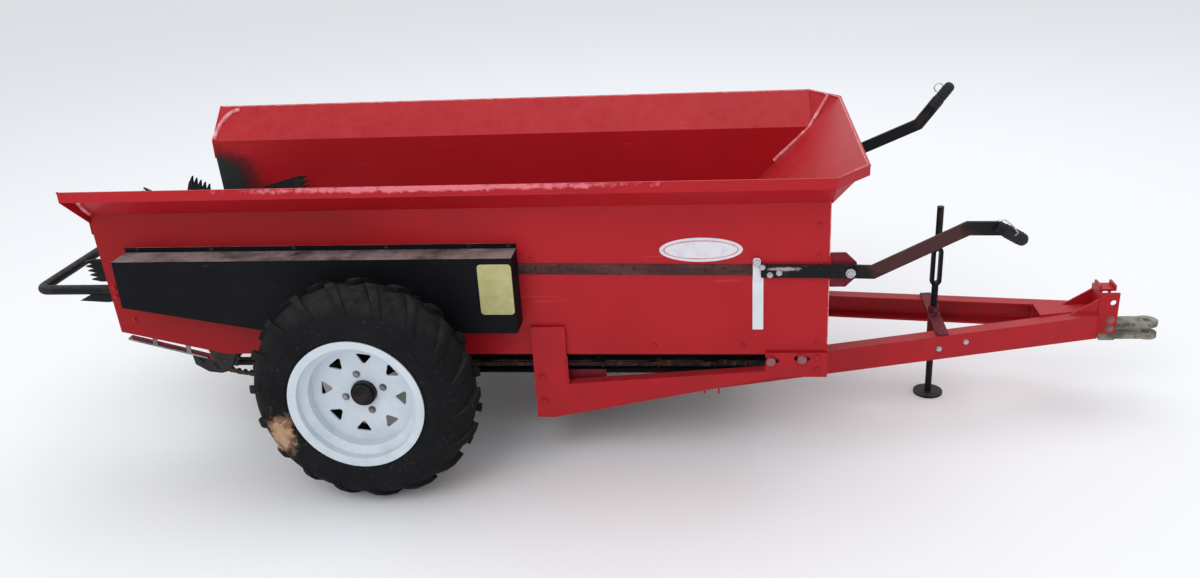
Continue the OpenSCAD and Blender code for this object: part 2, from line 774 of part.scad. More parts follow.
// Drive cover: a tray against the wall, open to the wall, with a flange along its top
cover_t = 2.5;
cover_flange_h = 13;
cover_rear_in = 79;
cover_front_in = 20;
cover_bend = 240;
cover_low_h = 102;
cover_rear_low_h = 175;
cover_rear = cover_rear_in - box_rear;
cover_front = frame_x - cover_front_in;
cover_top_z = axle_z + cover_h;
cover_bend_x = -cover_bend;
cover_low_z = axle_z + cover_low_h;
cover_rear_low_z = axle_z + cover_rear_low_h;
module cover_right() {
    t = cover_t;
    y0 = -box_half_w - cover_d;
    color(black) difference() {
        union() {
            plate_xz([[cover_rear, cover_top_z], [cover_rear, cover_rear_low_z], [cover_bend_x, cover_low_z],
                [cover_front, cover_low_z], [cover_front, cover_top_z]], y0, cover_d);
            plate_xz([[cover_rear, cover_top_z], [cover_front, cover_top_z],
                [cover_front, cover_top_z + cover_flange_h], [cover_rear, cover_top_z + cover_flange_h]],
                -box_half_w - t, t);
        }
        plate_xz([[cover_rear + t, cover_top_z - t], [cover_rear + t, cover_rear_low_z + t],
            [cover_bend_x, cover_low_z + t], [cover_front - t, cover_low_z + t],
            [cover_front - t, cover_top_z - t]], y0 + t, cover_d);
        plate_xz([[-60, cover_low_z - 2 * t], [jack_x + 50, cover_low_z - 2 * t],
            [jack_x + 50, cover_low_z + 60], [-60, cover_low_z + 60]],
            -box_half_w - drive_in - drive_w - 6, drive_w + 12);
    }
}

left_cover_past = 110;
left_cover_ahead = 80;
left_cover_up = 110;
left_cover_low = 55;
left_cover_rear = -apron_rear - left_cover_past;
left_cover_front = left_cover_ahead;
left_cover_top_z = axle_z + left_cover_up;
left_cover_low_z = axle_z + left_cover_low;
module cover_left() {
    t = cover_t;
    y0 = -box_half_w - cover_d;
    left() color(black) difference() {
        plate_xz([[left_cover_rear, left_cover_top_z], [left_cover_rear, left_cover_low_z],
            [left_cover_front, left_cover_low_z], [left_cover_front, left_cover_top_z]], y0, cover_d);
        plate_xz([[left_cover_rear + t, left_cover_top_z - t], [left_cover_rear + t, left_cover_low_z - cut],
            [left_cover_front - t, left_cover_low_z - cut], [left_cover_front - t, left_cover_top_z - t]],
            y0 + t, cover_d);
    }
}

// Beater: tube, stub shafts and toothed paddles in pairs
paddle_w = 72;
paddle_t = 6;
paddle_slant = 75;
paddle_in = 71;
tooth_h = 26;
// Turn of each pair of paddles from upright, from the right end of the beater to the left
paddle_turns = [90, 55, 20, -50, 70, -75, 90, 75];
module paddle() {
    base = beater_r - tooth_h;
    pitch = paddle_w / teeth;
    outline = concat([[-paddle_w / 2, beater_tube_r - 4], [-paddle_w / 2, base]],
        [for (k = [0:teeth - 1]) each [[-paddle_w / 2 + (k + 0.5) * pitch, beater_r - 1],
            [-paddle_w / 2 + (k + 1) * pitch, base]]],
        [[paddle_w / 2, beater_tube_r - 4]]);
    rotate([90, 0, 90]) translate([0, 0, -paddle_t / 2]) linear_extrude(paddle_t) polygon(outline);
}

module beater() {
    end = inner_half_w - paddle_in;
    stations = len(paddle_turns);
    step = 2 * end / (stations - 1);
    color(black) translate([beater_x, 0, beater_z]) {
        rod_y(0, 0, beater_tube_r, -inner_half_w + 20, inner_half_w - 20);
        rod_y(0, 0, shaft_r, -box_half_w - 36, box_half_w + 36);
        for (k = [0:stations - 1], flip = [0, 180]) {
            rotate([0, paddle_turns[k] + flip, 0]) translate([0, -end + k * step, 0])
                rotate([0, 0, paddle_slant]) paddle();
        }
    }
}

module beater_bearing() {
    y0 = -box_half_w - 30;
    color(steel) difference() {
        union() {
            rod_y(beater_x, beater_z, shaft_r + 12, y0, -box_half_w);
            rod_y(beater_x, beater_z, shaft_r + 22, -box_half_w - 8, -box_half_w);
        }
        rod_y(beater_x, beater_z, shaft_r + running_play, y0 - cut, -box_half_w + cut);
    }
}

// Hoop of bent tube behind the beater, its arms flat against the walls
guard_bend = 26;
guard_arm_in = 45;
module guard() {
    x0 = guard_x + guard_r;
    y0 = inner_half_w - guard_r - fit;
    color(black) translate([0, 0, guard_z]) {
        for (s = [-1, 1]) {
            translate([x0 + guard_bend, s * y0, 0]) rotate([0, 90, 0])
                cylinder(r = guard_r, h = guard_arm_in - box_rear - x0 - guard_bend);
        }
        rod_y(x0, 0, guard_r, -y0 + guard_bend, y0 - guard_bend);
        for (s = [-1, 1]) {
            translate([x0 + guard_bend, s * (y0 - guard_bend), 0]) rotate([0, 0, s > 0 ? 90 : 180])
                rotate_extrude(angle = 90) translate([guard_bend, 0]) circle(guard_r);
        }
    }
}

// Hand levers, their pivot plates, and the links to the drive. A path is given from the pivot
pivot = [box_front + pivot_out, axle_z + pivot_h];
lever_y = -box_half_w - lever_t - 2;
link_t = 2;
lever_tail = -209;
lever_right_path = [[lever_tail, 3], [0, 0], [53, -2], [264, 105], [338, 104]];
lever_right_grip = [386, 76];
lever_left_path = [[lever_tail, -5], [0, 0], [61, 80], [263, 168], [316, 239]];
lever_left_grip = [344, 276];
grip_r = 14;

// A bar along the path and a round grip from its end to the given point
module lever(path, grip) {
    tail = path[len(path) - 1];
    d = grip - tail;
    color(black) {
        plate_xz([for (p = ribbon(path, lever_w)) p + pivot], lever_y, lever_t);
        translate([pivot.x + tail.x, lever_y + lever_t / 2, pivot.y + tail.y])
            rotate([0, 90 - atan2(d.y, d.x), 0]) {
                translate([0, 0, -grip_r]) cylinder(r = grip_r, h = norm(d));
                translate([0, 0, norm(d) - grip_r]) sphere(grip_r);
            }
    }
}

pivot_plate_r = 47;
pivot_plate_in = 27;
pivot_pin_r = 8;
module pivot_plate() {
    color(red) {
        translate([pivot.x - pivot_plate_in, -inner_half_w, pivot.y]) rotate([-90, 22.5, 0])
            cylinder(r = pivot_plate_r, h = plate_t, $fn = 8);
    }
    color(steel) {
        rod_y(pivot.x, pivot.y, pivot_pin_r, lever_y - 10, lever_y);
        rod_y(pivot.x, pivot.y, pivot_pin_r, lever_y + lever_t, -inner_half_w);
    }
}

link_w = 28;
link_lap = 40;
module link() {
    color(rusty) plate_xz(ribbon([[cover_front + fit, pivot.y + 12],
        [pivot.x + lever_tail + link_lap, pivot.y + 3]], link_w), lever_y + lever_t, link_t);
}

// Blank white strip on the right wall
strip_in = 183;
strip_x = box_front - strip_in;
strip_w = 26;
strip_up = 79;
strip_h = 143;
module guide_strip() {
    color(white) translate([strip_x, -box_half_w - 2, axle_z + strip_up]) cube([strip_w, 2, strip_h]);
}

placed() side_wall();  // side_right
placed() left() side_wall();  // side_left
placed() front_panel();
placed() corner();  // corner_right
placed() left() corner();  // corner_left
placed() deck();
placed() runner();  // runner_right
placed() left() runner();  // runner_left
placed() side_frame();  // frame_right
placed() left() side_frame();  // frame_left
placed() cross_member(frame_x + 12, frame_foot_z + 1);  // cross_rear
placed() cross_member(cross_front_x, axle_z - cross_front_low);  // cross_front
placed() beam();  // beam_right
placed() left() beam();  // beam_left
placed() pole();
placed() hitch_post();
placed() clevis();
placed() leg_bracket();
placed() parking_leg();
placed() axle();
placed() bearing();  // bearing_right
placed() left() bearing();  // bearing_left
placed() rim();  // rim_right
placed() left() rim();  // rim_left
placed() tyre();  // tyre_right
placed() left() tyre();  // tyre_left
placed() hub();  // hub_right
placed() left() hub();  // hub_left
placed() apron();
placed() apron_shaft(apron_front);  // apron_shaft_front
placed() apron_shaft(-apron_rear);  // apron_shaft_rear
placed() shaft_plate_front();  // shaft_plate_front_right
placed() left() shaft_plate_front();  // shaft_plate_front_left
placed() shaft_plate_rear();  // shaft_plate_rear_right
placed() left() shaft_plate_rear();  // shaft_plate_rear_left
placed() drive_right();
placed() drive_left();
placed() cover_right();
placed() cover_left();
placed() beater();
placed() beater_bearing();  // beater_bearing_right
placed() left() beater_bearing();  // beater_bearing_left
placed() guard();
placed() lever(lever_right_path, lever_right_grip);  // lever_right
placed() left() lever(lever_left_path, lever_left_grip);  // lever_left
placed() pivot_plate();  // pivot_right
placed() left() pivot_plate();  // pivot_left
placed() link();  // link_right
placed() left() link();  // link_left
placed() guide_strip();
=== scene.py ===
# %% [markdown]
# # A tow-behind manure spreader
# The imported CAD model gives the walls, wheels, levers and drive at their real size. This script
# keeps it as a fixed frame, adds the tyres' tread, the bolts, plates, wires and welds that the
# solids leave out, and gives each surface a finish built from nodes.

# %% Load the frame
import math
import bpy
from mathutils import Matrix, Vector


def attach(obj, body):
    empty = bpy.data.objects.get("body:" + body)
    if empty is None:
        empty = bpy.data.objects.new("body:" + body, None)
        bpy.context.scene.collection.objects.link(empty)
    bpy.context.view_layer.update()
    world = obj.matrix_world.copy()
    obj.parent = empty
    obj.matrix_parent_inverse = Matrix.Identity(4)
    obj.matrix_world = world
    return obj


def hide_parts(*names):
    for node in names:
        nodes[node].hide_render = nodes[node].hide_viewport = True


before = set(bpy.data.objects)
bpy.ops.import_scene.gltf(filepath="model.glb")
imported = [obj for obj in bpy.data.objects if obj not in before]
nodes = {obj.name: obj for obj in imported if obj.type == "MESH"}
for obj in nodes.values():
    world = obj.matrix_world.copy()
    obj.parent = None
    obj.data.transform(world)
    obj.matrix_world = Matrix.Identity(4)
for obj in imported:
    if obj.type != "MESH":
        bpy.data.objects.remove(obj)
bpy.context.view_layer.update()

# %% [markdown]
# ## Camera
# A photograph is matched by solving for the camera first. The rectangle of the box's top edges and
# the circles of the rim gave the height, the three turns and the focal length, so the view below is
# written as a matrix instead of being aimed by eye.

# %% Camera
yaw, pitch, roll = -0.134, 0.3927, 0.0581
camera_place = (0.3520, -2.7761, 1.4889)
focal_pixels, photo_width, sensor_width = 1066.56, 1200.0, 36.0
forward = Vector((math.sin(yaw) * math.cos(pitch), math.cos(yaw) * math.cos(pitch),
                  -math.sin(pitch)))
level = Vector((math.cos(yaw), -math.sin(yaw), 0.0))
down = forward.cross(level)
right = math.cos(roll) * level + math.sin(roll) * down
below = -math.sin(roll) * level + math.cos(roll) * down
turn = Matrix((right, -below, -forward)).transposed().to_4x4()
bpy.ops.object.select_all(action="DESELECT")
bpy.ops.object.camera_add()
camera = bpy.context.object
camera.name = "camera"
camera.matrix_world = Matrix.Translation(camera_place) @ turn
camera.data.sensor_width = sensor_width
camera.data.lens = focal_pixels / photo_width * sensor_width
bpy.context.scene.camera = camera
print("lens:", round(camera.data.lens, 2), "mm")

# %% [markdown]
# ## Floor and light
# The real machine stands outdoors under an even grey sky. A big pale floor and a bright world give
# the same flat light, and two wide lamps add the weak direction that an overcast sky has. The
# world is shown to the camera and to reflections as white, and lights the object with less. It is
# a small node tree, so the helpers for node trees come first.

# %% Helpers for node trees
def srgb(r, g, b):
    """A colour given as the 0 to 255 values of a screen, for a linear socket."""
    return tuple((v / 255 / 12.92 if v / 255 <= 0.04045 else ((v / 255 + 0.055) / 1.055) ** 2.4)
                 for v in (r, g, b)) + (1.0,)


def node(tree, kind, links=None, **values):
    """A node with its options and values set, and with its inputs linked."""
    made = tree.nodes.new("ShaderNode" + kind)
    for key, value in values.items():
        if hasattr(made, key):
            setattr(made, key, value)
        else:
            made.inputs[key.replace("_", " ")].default_value = value
    for key, source in (links or {}).items():
        tree.links.new(source, made.inputs[key])
    return made


def reckon(tree, operation, a, b, kind="Math"):
    """The result of one operation on two outputs."""
    return node(tree, kind, {0: a, 1: b}, operation=operation).outputs[0]


# %% Pale floor
bpy.ops.mesh.primitive_plane_add(size=60.0, location=(0.0, 0.0, 0.0))
floor = bpy.context.object
floor.name = "floor"
floor_paint = bpy.data.materials.new("pale_floor")
floor_paint.use_nodes = True
shade = floor_paint.node_tree.nodes["Principled BSDF"]
shade.inputs["Base Color"].default_value = (0.93, 0.94, 0.955, 1.0)
shade.inputs["Roughness"].default_value = 0.9
floor.data.materials.append(floor_paint)
print("floor:", [round(v, 1) for v in floor.dimensions])

# %% World
SKY_LEVEL = 0.78
world = bpy.data.worlds.new("even_sky")
bpy.context.scene.world = world
world.use_nodes = True
tree = world.node_tree
tree.nodes.clear()
light = node(tree, "Background", Color=(0.95, 0.97, 1.0, 1.0), Strength=SKY_LEVEL)
shown = node(tree, "Background", Color=(0.93, 0.94, 0.96, 1.0), Strength=1.0)
path = node(tree, "LightPath").outputs
seen = reckon(tree, "MAXIMUM", path["Is Camera Ray"], path["Is Glossy Ray"])
seen = reckon(tree, "MAXIMUM", seen, path["Is Transmission Ray"])
mix = node(tree, "MixShader", {0: seen, 1: light.outputs[0], 2: shown.outputs[0]})
node(tree, "OutputWorld", {"Surface": mix.outputs[0]})
bpy.context.scene.view_settings.view_transform = "Standard"
print("world:", world.name, "level:", SKY_LEVEL)

# %% Two wide lamps
lamp_aim = Vector((0.0, 0.0, 0.4))
for name, place, size, watts in (
        ("lamp_front", (-1.8, -4.2, 4.2), 3.6, 85.0), ("lamp_over", (0.6, 1.6, 5.0), 4.5, 75.0)):
    bpy.ops.object.light_add(type="AREA", location=place)
    lamp = bpy.context.object
    lamp.name = name
    lamp.data.size = size
    lamp.data.energy = watts
    lamp.rotation_euler = (lamp_aim - Vector(place)).to_track_quat("-Z", "Y").to_euler()

# %% [markdown]
# ## Effects that several finishes share
# Dirt, wear and the skin of sprayed paint come back in nearly every material here. Each is built
# once as a node group that gives a mask or a normal, and each material sets its own values.

# %% Helpers for groups
def new_group(name, inputs, output):
    """A shader group, what it is given and what it gives; inputs are (name, kind, value)."""
    group = bpy.data.node_groups.new(name, "ShaderNodeTree")
    for socket, kind, value in inputs:
        made = group.interface.new_socket(
            name=socket, in_out="INPUT", socket_type="NodeSocket" + kind)
        made.default_value = value
    group.interface.new_socket(
        name=output[0], in_out="OUTPUT", socket_type="NodeSocket" + output[1])
    print("group:", name)
    return (group, group.nodes.new("NodeGroupInput").outputs,
            group.nodes.new("NodeGroupOutput").inputs)


def on_piece(group):
    """The coordinates of the piece itself."""
    return node(group, "TexCoord").outputs["Object"]


def noise(group, place, scale, detail, rough=0.5):
    """The grey value of a noise texture."""
    links = {"Vector": place, "Scale": scale}
    return node(group, "TexNoise", links, Detail=detail, Roughness=rough).outputs["Fac"]


MASK = ("Mask", "Float")

# %% Blotches: soft or hard patches of noise on the piece's own coordinates
blotches, given, gives = new_group("Blotches", [
    ("Scale", "Float", 6.0), ("Level", "Float", 0.55), ("Softness", "Float", 0.08),
    ("Stretch", "Vector", (1.0, 1.0, 1.0))], MASK)
spread = reckon(blotches, "MULTIPLY", on_piece(blotches), given["Stretch"], "VectorMath")
cloud = noise(blotches, spread, given["Scale"], 8.0, 0.62)
low = reckon(blotches, "SUBTRACT", given["Level"], given["Softness"])
high = reckon(blotches, "ADD", given["Level"], given["Softness"])
step = node(blotches, "MapRange", {"Value": cloud, "From Min": low, "From Max": high})
blotches.links.new(step.outputs[0], gives["Mask"])

# %% Settled dust: on faces that look up, broken by noise
dust, given, gives = new_group("Settled dust", [
    ("Scale", "Float", 14.0), ("Amount", "Float", 0.5)], MASK)
place = on_piece(dust)
upward = node(dust, "SeparateXYZ", {0: node(dust, "NewGeometry").outputs["Normal"]})
flat = node(dust, "MapRange", {"Value": upward.outputs["Z"]}, interpolation_type="SMOOTHSTEP",
            From_Min=0.35, From_Max=0.95)
grit = noise(dust, place, given["Scale"], 6.0, 0.7)
broken = node(dust, "MapRange", {"Value": grit}, From_Min=0.30, From_Max=0.62)
both = reckon(dust, "MULTIPLY", flat.outputs[0], broken.outputs[0])
dust.links.new(reckon(dust, "MULTIPLY", both, given["Amount"]), gives["Mask"])

# %% Splashed soil: strongest near the ground, thrown up in spots
soil, given, gives = new_group("Splashed soil", [
    ("Top", "Float", 0.5), ("Scale", "Float", 9.0), ("Amount", "Float", 0.6)], MASK)
place = on_piece(soil)
height = node(soil, "SeparateXYZ", {0: place}).outputs["Z"]
fade = node(soil, "MapRange", {"Value": height, "From Max": given["Top"]}, From_Min=0.05,
            To_Min=1.0, To_Max=0.0)
spots = noise(soil, place, given["Scale"], 10.0, 0.7)
sharp = node(soil, "MapRange", {"Value": spots}, From_Min=0.44, From_Max=0.66)
thrown = reckon(soil, "MULTIPLY", fade.outputs[0], sharp.outputs[0])
soil.links.new(reckon(soil, "MULTIPLY", thrown, given["Amount"]), gives["Mask"])

# %% Skin: fine grain and slow waves as a normal
skin, given, gives = new_group("Skin", [
    ("Grain scale", "Float", 900.0), ("Grain", "Float", 0.1), ("Wave scale", "Float", 5.0),
    ("Wave", "Float", 0.2)], ("Normal", "Vector"))
place = on_piece(skin)
fine = noise(skin, place, given["Grain scale"], 3.0)
slow = noise(skin, place, given["Wave scale"], 2.0)
waves = node(skin, "Bump", {"Strength": given["Wave"], "Height": slow}, Distance=0.02)
grains = node(skin, "Bump", {
    "Strength": given["Grain"], "Height": fine, "Normal": waves.outputs["Normal"]}, Distance=0.0008)
skin.links.new(grains.outputs["Normal"], gives["Normal"])

# %% Spot: a ragged patch round one place, for stains and stuck mud, and for painted shade and highlights
spot, given, gives = new_group("Spot", [
    ("Centre", "Vector", (0.0, 0.0, 0.0)), ("Size", "Vector", (0.1, 0.1, 0.1)),
    ("Scale", "Float", 30.0), ("Ragged", "Float", 0.7)], MASK)
place = on_piece(spot)
away = reckon(spot, "SUBTRACT", place, given["Centre"], "VectorMath")
shrunk = reckon(spot, "DIVIDE", away, given["Size"], "VectorMath")
far = node(spot, "VectorMath", {0: shrunk}, operation="LENGTH").outputs["Value"]
tear = noise(spot, place, given["Scale"], 6.0, 0.7)
edge = reckon(spot, "ADD", far, reckon(spot, "MULTIPLY", tear, given["Ragged"]))
cut = node(spot, "MapRange", {"Value": edge}, interpolation_type="SMOOTHSTEP", From_Min=1.15,
           From_Max=0.85)
spot.links.new(cut.outputs[0], gives["Mask"])

# %% Inside: grime and painted shade that lie nearer the middle than a given distance, as on the back of a rim
inside, given, gives = new_group("Inside", [
    ("Reach", "Float", 0.5), ("Softness", "Float", 0.004), ("Scale", "Float", 30.0)], MASK)
place = on_piece(inside)
across = node(inside, "SeparateXYZ", {0: place}).outputs["Y"]
reach = node(inside, "Math", {0: across}, operation="ABSOLUTE").outputs[0]
wobble = noise(inside, place, given["Scale"], 4.0)
moved = reckon(inside, "ADD", reach, reckon(inside, "MULTIPLY", wobble, given["Softness"]))
outer = reckon(inside, "ADD", given["Reach"], given["Softness"])
behind = node(inside, "MapRange", {"Value": moved, "From Min": outer, "From Max": given["Reach"]})
inside.links.new(behind.outputs[0], gives["Mask"])

# %% [markdown]
# ## Finishes
# A finish here is a stack: a ground colour, then layers that a mask lets through, such as faded
# paint, dust, soil or rust. The same masks change the roughness, because dirt is duller than
# paint. One helper builds the stack, so that each finish is a short list of its layers.

# %% The stack
def group_node(tree, group, **values):
    """A group's node with its sockets set."""
    made = tree.nodes.new("ShaderNodeGroup")
    made.node_tree = group
    for key, value in values.items():
        made.inputs[key.replace("_", " ")].default_value = value
    return made


def finish(name, ground, rough, layers, metal=0.0, grain=(900.0, 0.1, 5.0, 0.2), shine=0.3):
    """A material from a ground colour and layers of (group, its values, colour, rough, metal)."""
    material = bpy.data.materials.new(name)
    material.use_nodes = True
    tree = material.node_tree
    shader = tree.nodes["Principled BSDF"]
    shader.inputs["Specular IOR Level"].default_value = shine
    stacks = [("RGBA", shader.inputs["Base Color"], srgb(*ground), 2),
              ("FLOAT", shader.inputs["Roughness"], rough, 3)]
    if metal > 0.0 or any(layer[4] > 0.0 for layer in layers):
        stacks.append(("FLOAT", shader.inputs["Metallic"], metal, 4))
    masks = [group_node(tree, layer[0], **layer[1]).outputs["Mask"] for layer in layers]
    for kind, socket, first, column in stacks:
        # A Mix node has its own sockets A, B and Result for colours and for numbers
        before, after, result = (6, 7, 2) if kind == "RGBA" else (2, 3, 0)
        last = None
        for mask, layer in zip(masks, layers):
            mixed = node(tree, "Mix", {0: mask}, data_type=kind)
            if last is None:
                mixed.inputs[before].default_value = first
            else:
                tree.links.new(last, mixed.inputs[before])
            mixed.inputs[after].default_value = layer[column]
            last = mixed.outputs[result]
        tree.links.new(last, socket)
    surface = group_node(
        tree, skin, Grain_scale=grain[0], Grain=grain[1], Wave_scale=grain[2], Wave=grain[3])
    tree.links.new(surface.outputs["Normal"], shader.inputs["Normal"])
    print("finish:", name)
    return material


# %% Layers by the shared effect that lets them through
def patches(scale, level, softness, colour, rough, metal=0.0, stretch=(1, 1, 1)):
    """Blotches: a higher level leaves fewer of them, a low softness gives hard edges."""
    values = dict(Scale=scale, Level=level, Softness=softness, Stretch=stretch)
    return blotches, values, srgb(*colour), rough, metal


def dusted(scale, amount, colour, rough):
    return dust, dict(Scale=scale, Amount=amount), srgb(*colour), rough, 0.0


def splashed(top, scale, amount, colour, rough):
    """Soil from the ground up to a height in metres."""
    return soil, dict(Top=top, Scale=scale, Amount=amount), srgb(*colour), rough, 0.0


def spot_of_stain_and_light(centre, size, scale, ragged, colour, rough):
    """A patch round one place, for stains, painted shade and painted highlights; a thin size in Y
    keeps it on one face of a sheet.
    """
    values = dict(Centre=centre, Size=size, Scale=scale, Ragged=ragged)
    return spot, values, srgb(*colour), rough, 0.0


# %% Red paint of the box, with faded blotches, thin scuffs, dust and splashes
RED = (180, 25, 35)
RED_GRAIN, FRAME_GRAIN = (700, 0.06, 4, 0.12), (600, 0.1, 14, 0.12)


def red_layers(top, extra=()):
    """Layers of weathered red, splashed up to a height."""
    return [
        patches(2.2, 0.52, 0.16, (166, 19, 29), 0.42),
        patches(60, 0.70, 0.04, (196, 60, 66), 0.5, stretch=(0.06, 1, 1)),
        dusted(22, 0.12, (205, 120, 124), 0.7),
        splashed(top, 11, 0.42, (96, 44, 40), 0.8),
        patches(75, 0.74, 0.012, (66, 34, 30), 0.8),
    ] + list(extra)


# Painted shade: a darker red on the outer face of the right wall behind the wheel
painted_wheel_shade = spot_of_stain_and_light((-1.25, -0.36, 0.45), (0.95, 0.0025, 0.75), 3.5, 0.35, (150, 8, 15), 0.45)
# Painted glints: pale pink flecks along the lip of the right flare
lip = spot_of_stain_and_light((-0.35, -0.460, 0.778), (1.0, 0.006, 0.020), 46, 1.25, (226, 118, 130), 0.45)
red_box = finish("red_box_paint", RED, 0.38, red_layers(0.40, [painted_wheel_shade, lip]),
                 grain=RED_GRAIN, shine=0.22)
red_frame = finish("red_frame_paint", (182, 28, 38), 0.42, red_layers(0.46, [
    patches(38, 0.71, 0.02, (76, 38, 32), 0.85)]), grain=FRAME_GRAIN, shine=0.22)
# A dark patch on the inner face of the left wall near its rear, darkest and greyest in its middle
red_dark_patch = finish("red_paint_dark_patch", RED, 0.38, red_layers(0.40, [
    spot_of_stain_and_light((-1.262, 0.357, 0.545), (0.225, 0.0025, 0.215), 7, 0.9, (104, 20, 26), 0.6),
    spot_of_stain_and_light((-1.262, 0.357, 0.545), (0.165, 0.0025, 0.185), 9, 0.85, (60, 28, 30), 0.55),
    spot_of_stain_and_light((-1.262, 0.357, 0.540), (0.120, 0.0025, 0.150), 12, 0.8, (36, 44, 44), 0.5)]),
    grain=RED_GRAIN, shine=0.22)

# %% Black paint: the drive cover and bars, and the same paint worn down to rust on the levers
BAR_BLACK = (17, 18, 21)
black_cover = finish("black_cover_paint", (13, 14, 18), 0.6, [
    patches(5, 0.55, 0.12, (19, 20, 24), 0.6),
    patches(70, 0.70, 0.03, (64, 64, 68), 0.6, stretch=(0.08, 1, 1)),
    dusted(9, 0.92, (172, 164, 164), 0.85),
    splashed(0.6, 13, 0.12, (60, 56, 54), 0.9)],
    grain=(500, 0.15, 6, 0.12), shine=0.1)
black_bar = finish("black_bar_paint", BAR_BLACK, 0.5, [
    patches(16, 0.62, 0.05, (48, 38, 34), 0.7),
    patches(60, 0.70, 0.03, (92, 64, 48), 0.85),
    dusted(40, 0.25, (112, 110, 108), 0.8)],
    grain=(500, 0.2, 30, 0.1), shine=0.16)
scraped = (0.475, -0.366, 0.532)
worn_lever = finish("worn_lever_paint", BAR_BLACK, 0.5, [
    patches(16, 0.62, 0.05, (48, 38, 34), 0.7),
    spot_of_stain_and_light((0.79, -0.366, 0.575), (0.22, 0.1, 0.12), 26, 0.7, (72, 46, 44), 0.75),
    patches(60, 0.68, 0.03, (92, 64, 48), 0.85),
    spot_of_stain_and_light(scraped, (0.075, 0.1, 0.012), 70, 1.2, (168, 158, 152), 0.5),
    dusted(40, 0.25, (112, 110, 108), 0.8)],
    grain=(500, 0.2, 30, 0.1), shine=0.16)
# Near-black, for the webs and rails under the box: painted shade for the dark under the deck, with
# rust blotches
shaded = finish("underside_shade_paint", (25, 23, 24), 0.85, [
    patches(14, 0.52, 0.12, (37, 31, 29), 0.8),
    patches(50, 0.64, 0.04, (66, 44, 34), 0.8)],
    grain=(500, 0.3, 30, 0.1), shine=0.05)
hitch_steel = finish("weathered_hitch_steel", (140, 140, 130), 0.6, [
    patches(26, 0.53, 0.10, (72, 69, 62), 0.8),
    patches(70, 0.60, 0.05, (108, 78, 58), 0.7),
    dusted(60, 0.4, (168, 168, 158), 0.8)],
    grain=(500, 0.4, 60, 0.2), shine=0.3)
# Pale pink for the rods along edges, folds and seams: a painted highlight for the light the sheet's
# edges catch
edge_highlight_paint = finish("painted_edge_highlight", (222, 112, 120), 0.4, [
    patches(40, 0.54, 0.1, (240, 188, 192), 0.45),
    patches(90, 0.62, 0.05, (186, 40, 50), 0.5)], grain=FRAME_GRAIN, shine=0.3)
# A darker copy of the red paint, as painted shade, for the leg, the pivot plates and small red
# parts under the box
shaded_red = finish("shaded_red_paint", (118, 28, 42), 0.55, [
    patches(18, 0.52, 0.12, (92, 24, 36), 0.6),
    patches(60, 0.66, 0.03, (52, 28, 30), 0.85)],
    grain=(500, 0.2, 30, 0.1), shine=0.2)
worn_head = finish("worn_head_paint", (168, 74, 80), 0.5, [
    patches(60, 0.50, 0.1, (128, 104, 104), 0.45, 0.3),
    patches(120, 0.64, 0.04, (72, 40, 36), 0.8)],
    grain=(500, 0.3, 60, 0.1))

# %% White paint of the rims and the strip, and the two blank plates
white_rim = finish("white_rim_paint", (226, 230, 234), 0.35, [
    patches(9, 0.56, 0.14, (212, 217, 222), 0.45),
    splashed(0.40, 26, 0.32, (164, 158, 148), 0.8),
    patches(120, 0.71, 0.02, (120, 102, 88), 0.8)],
    grain=(600, 0.08, 18, 0.08), shine=0.4)
disc_back = 0.5385
rim_paint = finish("rim_paint", (208, 217, 225), 0.38, [
    patches(9, 0.56, 0.14, (194, 204, 212), 0.45),
    splashed(0.40, 26, 0.32, (156, 154, 148), 0.8),
    patches(120, 0.71, 0.02, (120, 102, 88), 0.8),
    # Painted shade and grime: the back of the rim, nearer the middle than the disc, is dark
    (inside, dict(Reach=disc_back, Softness=0.003, Scale=40.0), srgb(38, 38, 40), 0.9, 0.0)],
    grain=(600, 0.08, 18, 0.08), shine=0.4)
# Grey for the rings beside the rim's bead: painted shade at the bead's foot, and grime
rim_bead_shade_and_grime = finish("rim_bead_shade_and_grime", (150, 154, 160), 0.6, [
    patches(20, 0.52, 0.12, (176, 180, 186), 0.6),
    patches(60, 0.62, 0.05, (118, 112, 106), 0.8)],
    grain=(600, 0.15, 18, 0.1), shine=0.1)
plate_white = finish("blank_white_plate", (228, 226, 232), 0.4, [
    patches(30, 0.6, 0.12, (208, 204, 212), 0.5),
    patches(140, 0.68, 0.03, (176, 150, 152), 0.7)],
    grain=(900, 0.04, 20, 0.05), shine=0.4)
plate_edge = finish("blank_plate_border", (214, 168, 176), 0.45, [
    patches(50, 0.56, 0.1, (190, 112, 122), 0.5)],
    grain=(900, 0.04, 20, 0.05))
plate_olive = finish("blank_olive_plate", (192, 188, 134), 0.5, [
    patches(28, 0.54, 0.16, (180, 173, 114), 0.55),
    patches(90, 0.64, 0.05, (206, 200, 156), 0.6),
    splashed(0.62, 60, 0.5, (104, 96, 66), 0.7)],
    grain=(900, 0.06, 20, 0.05))

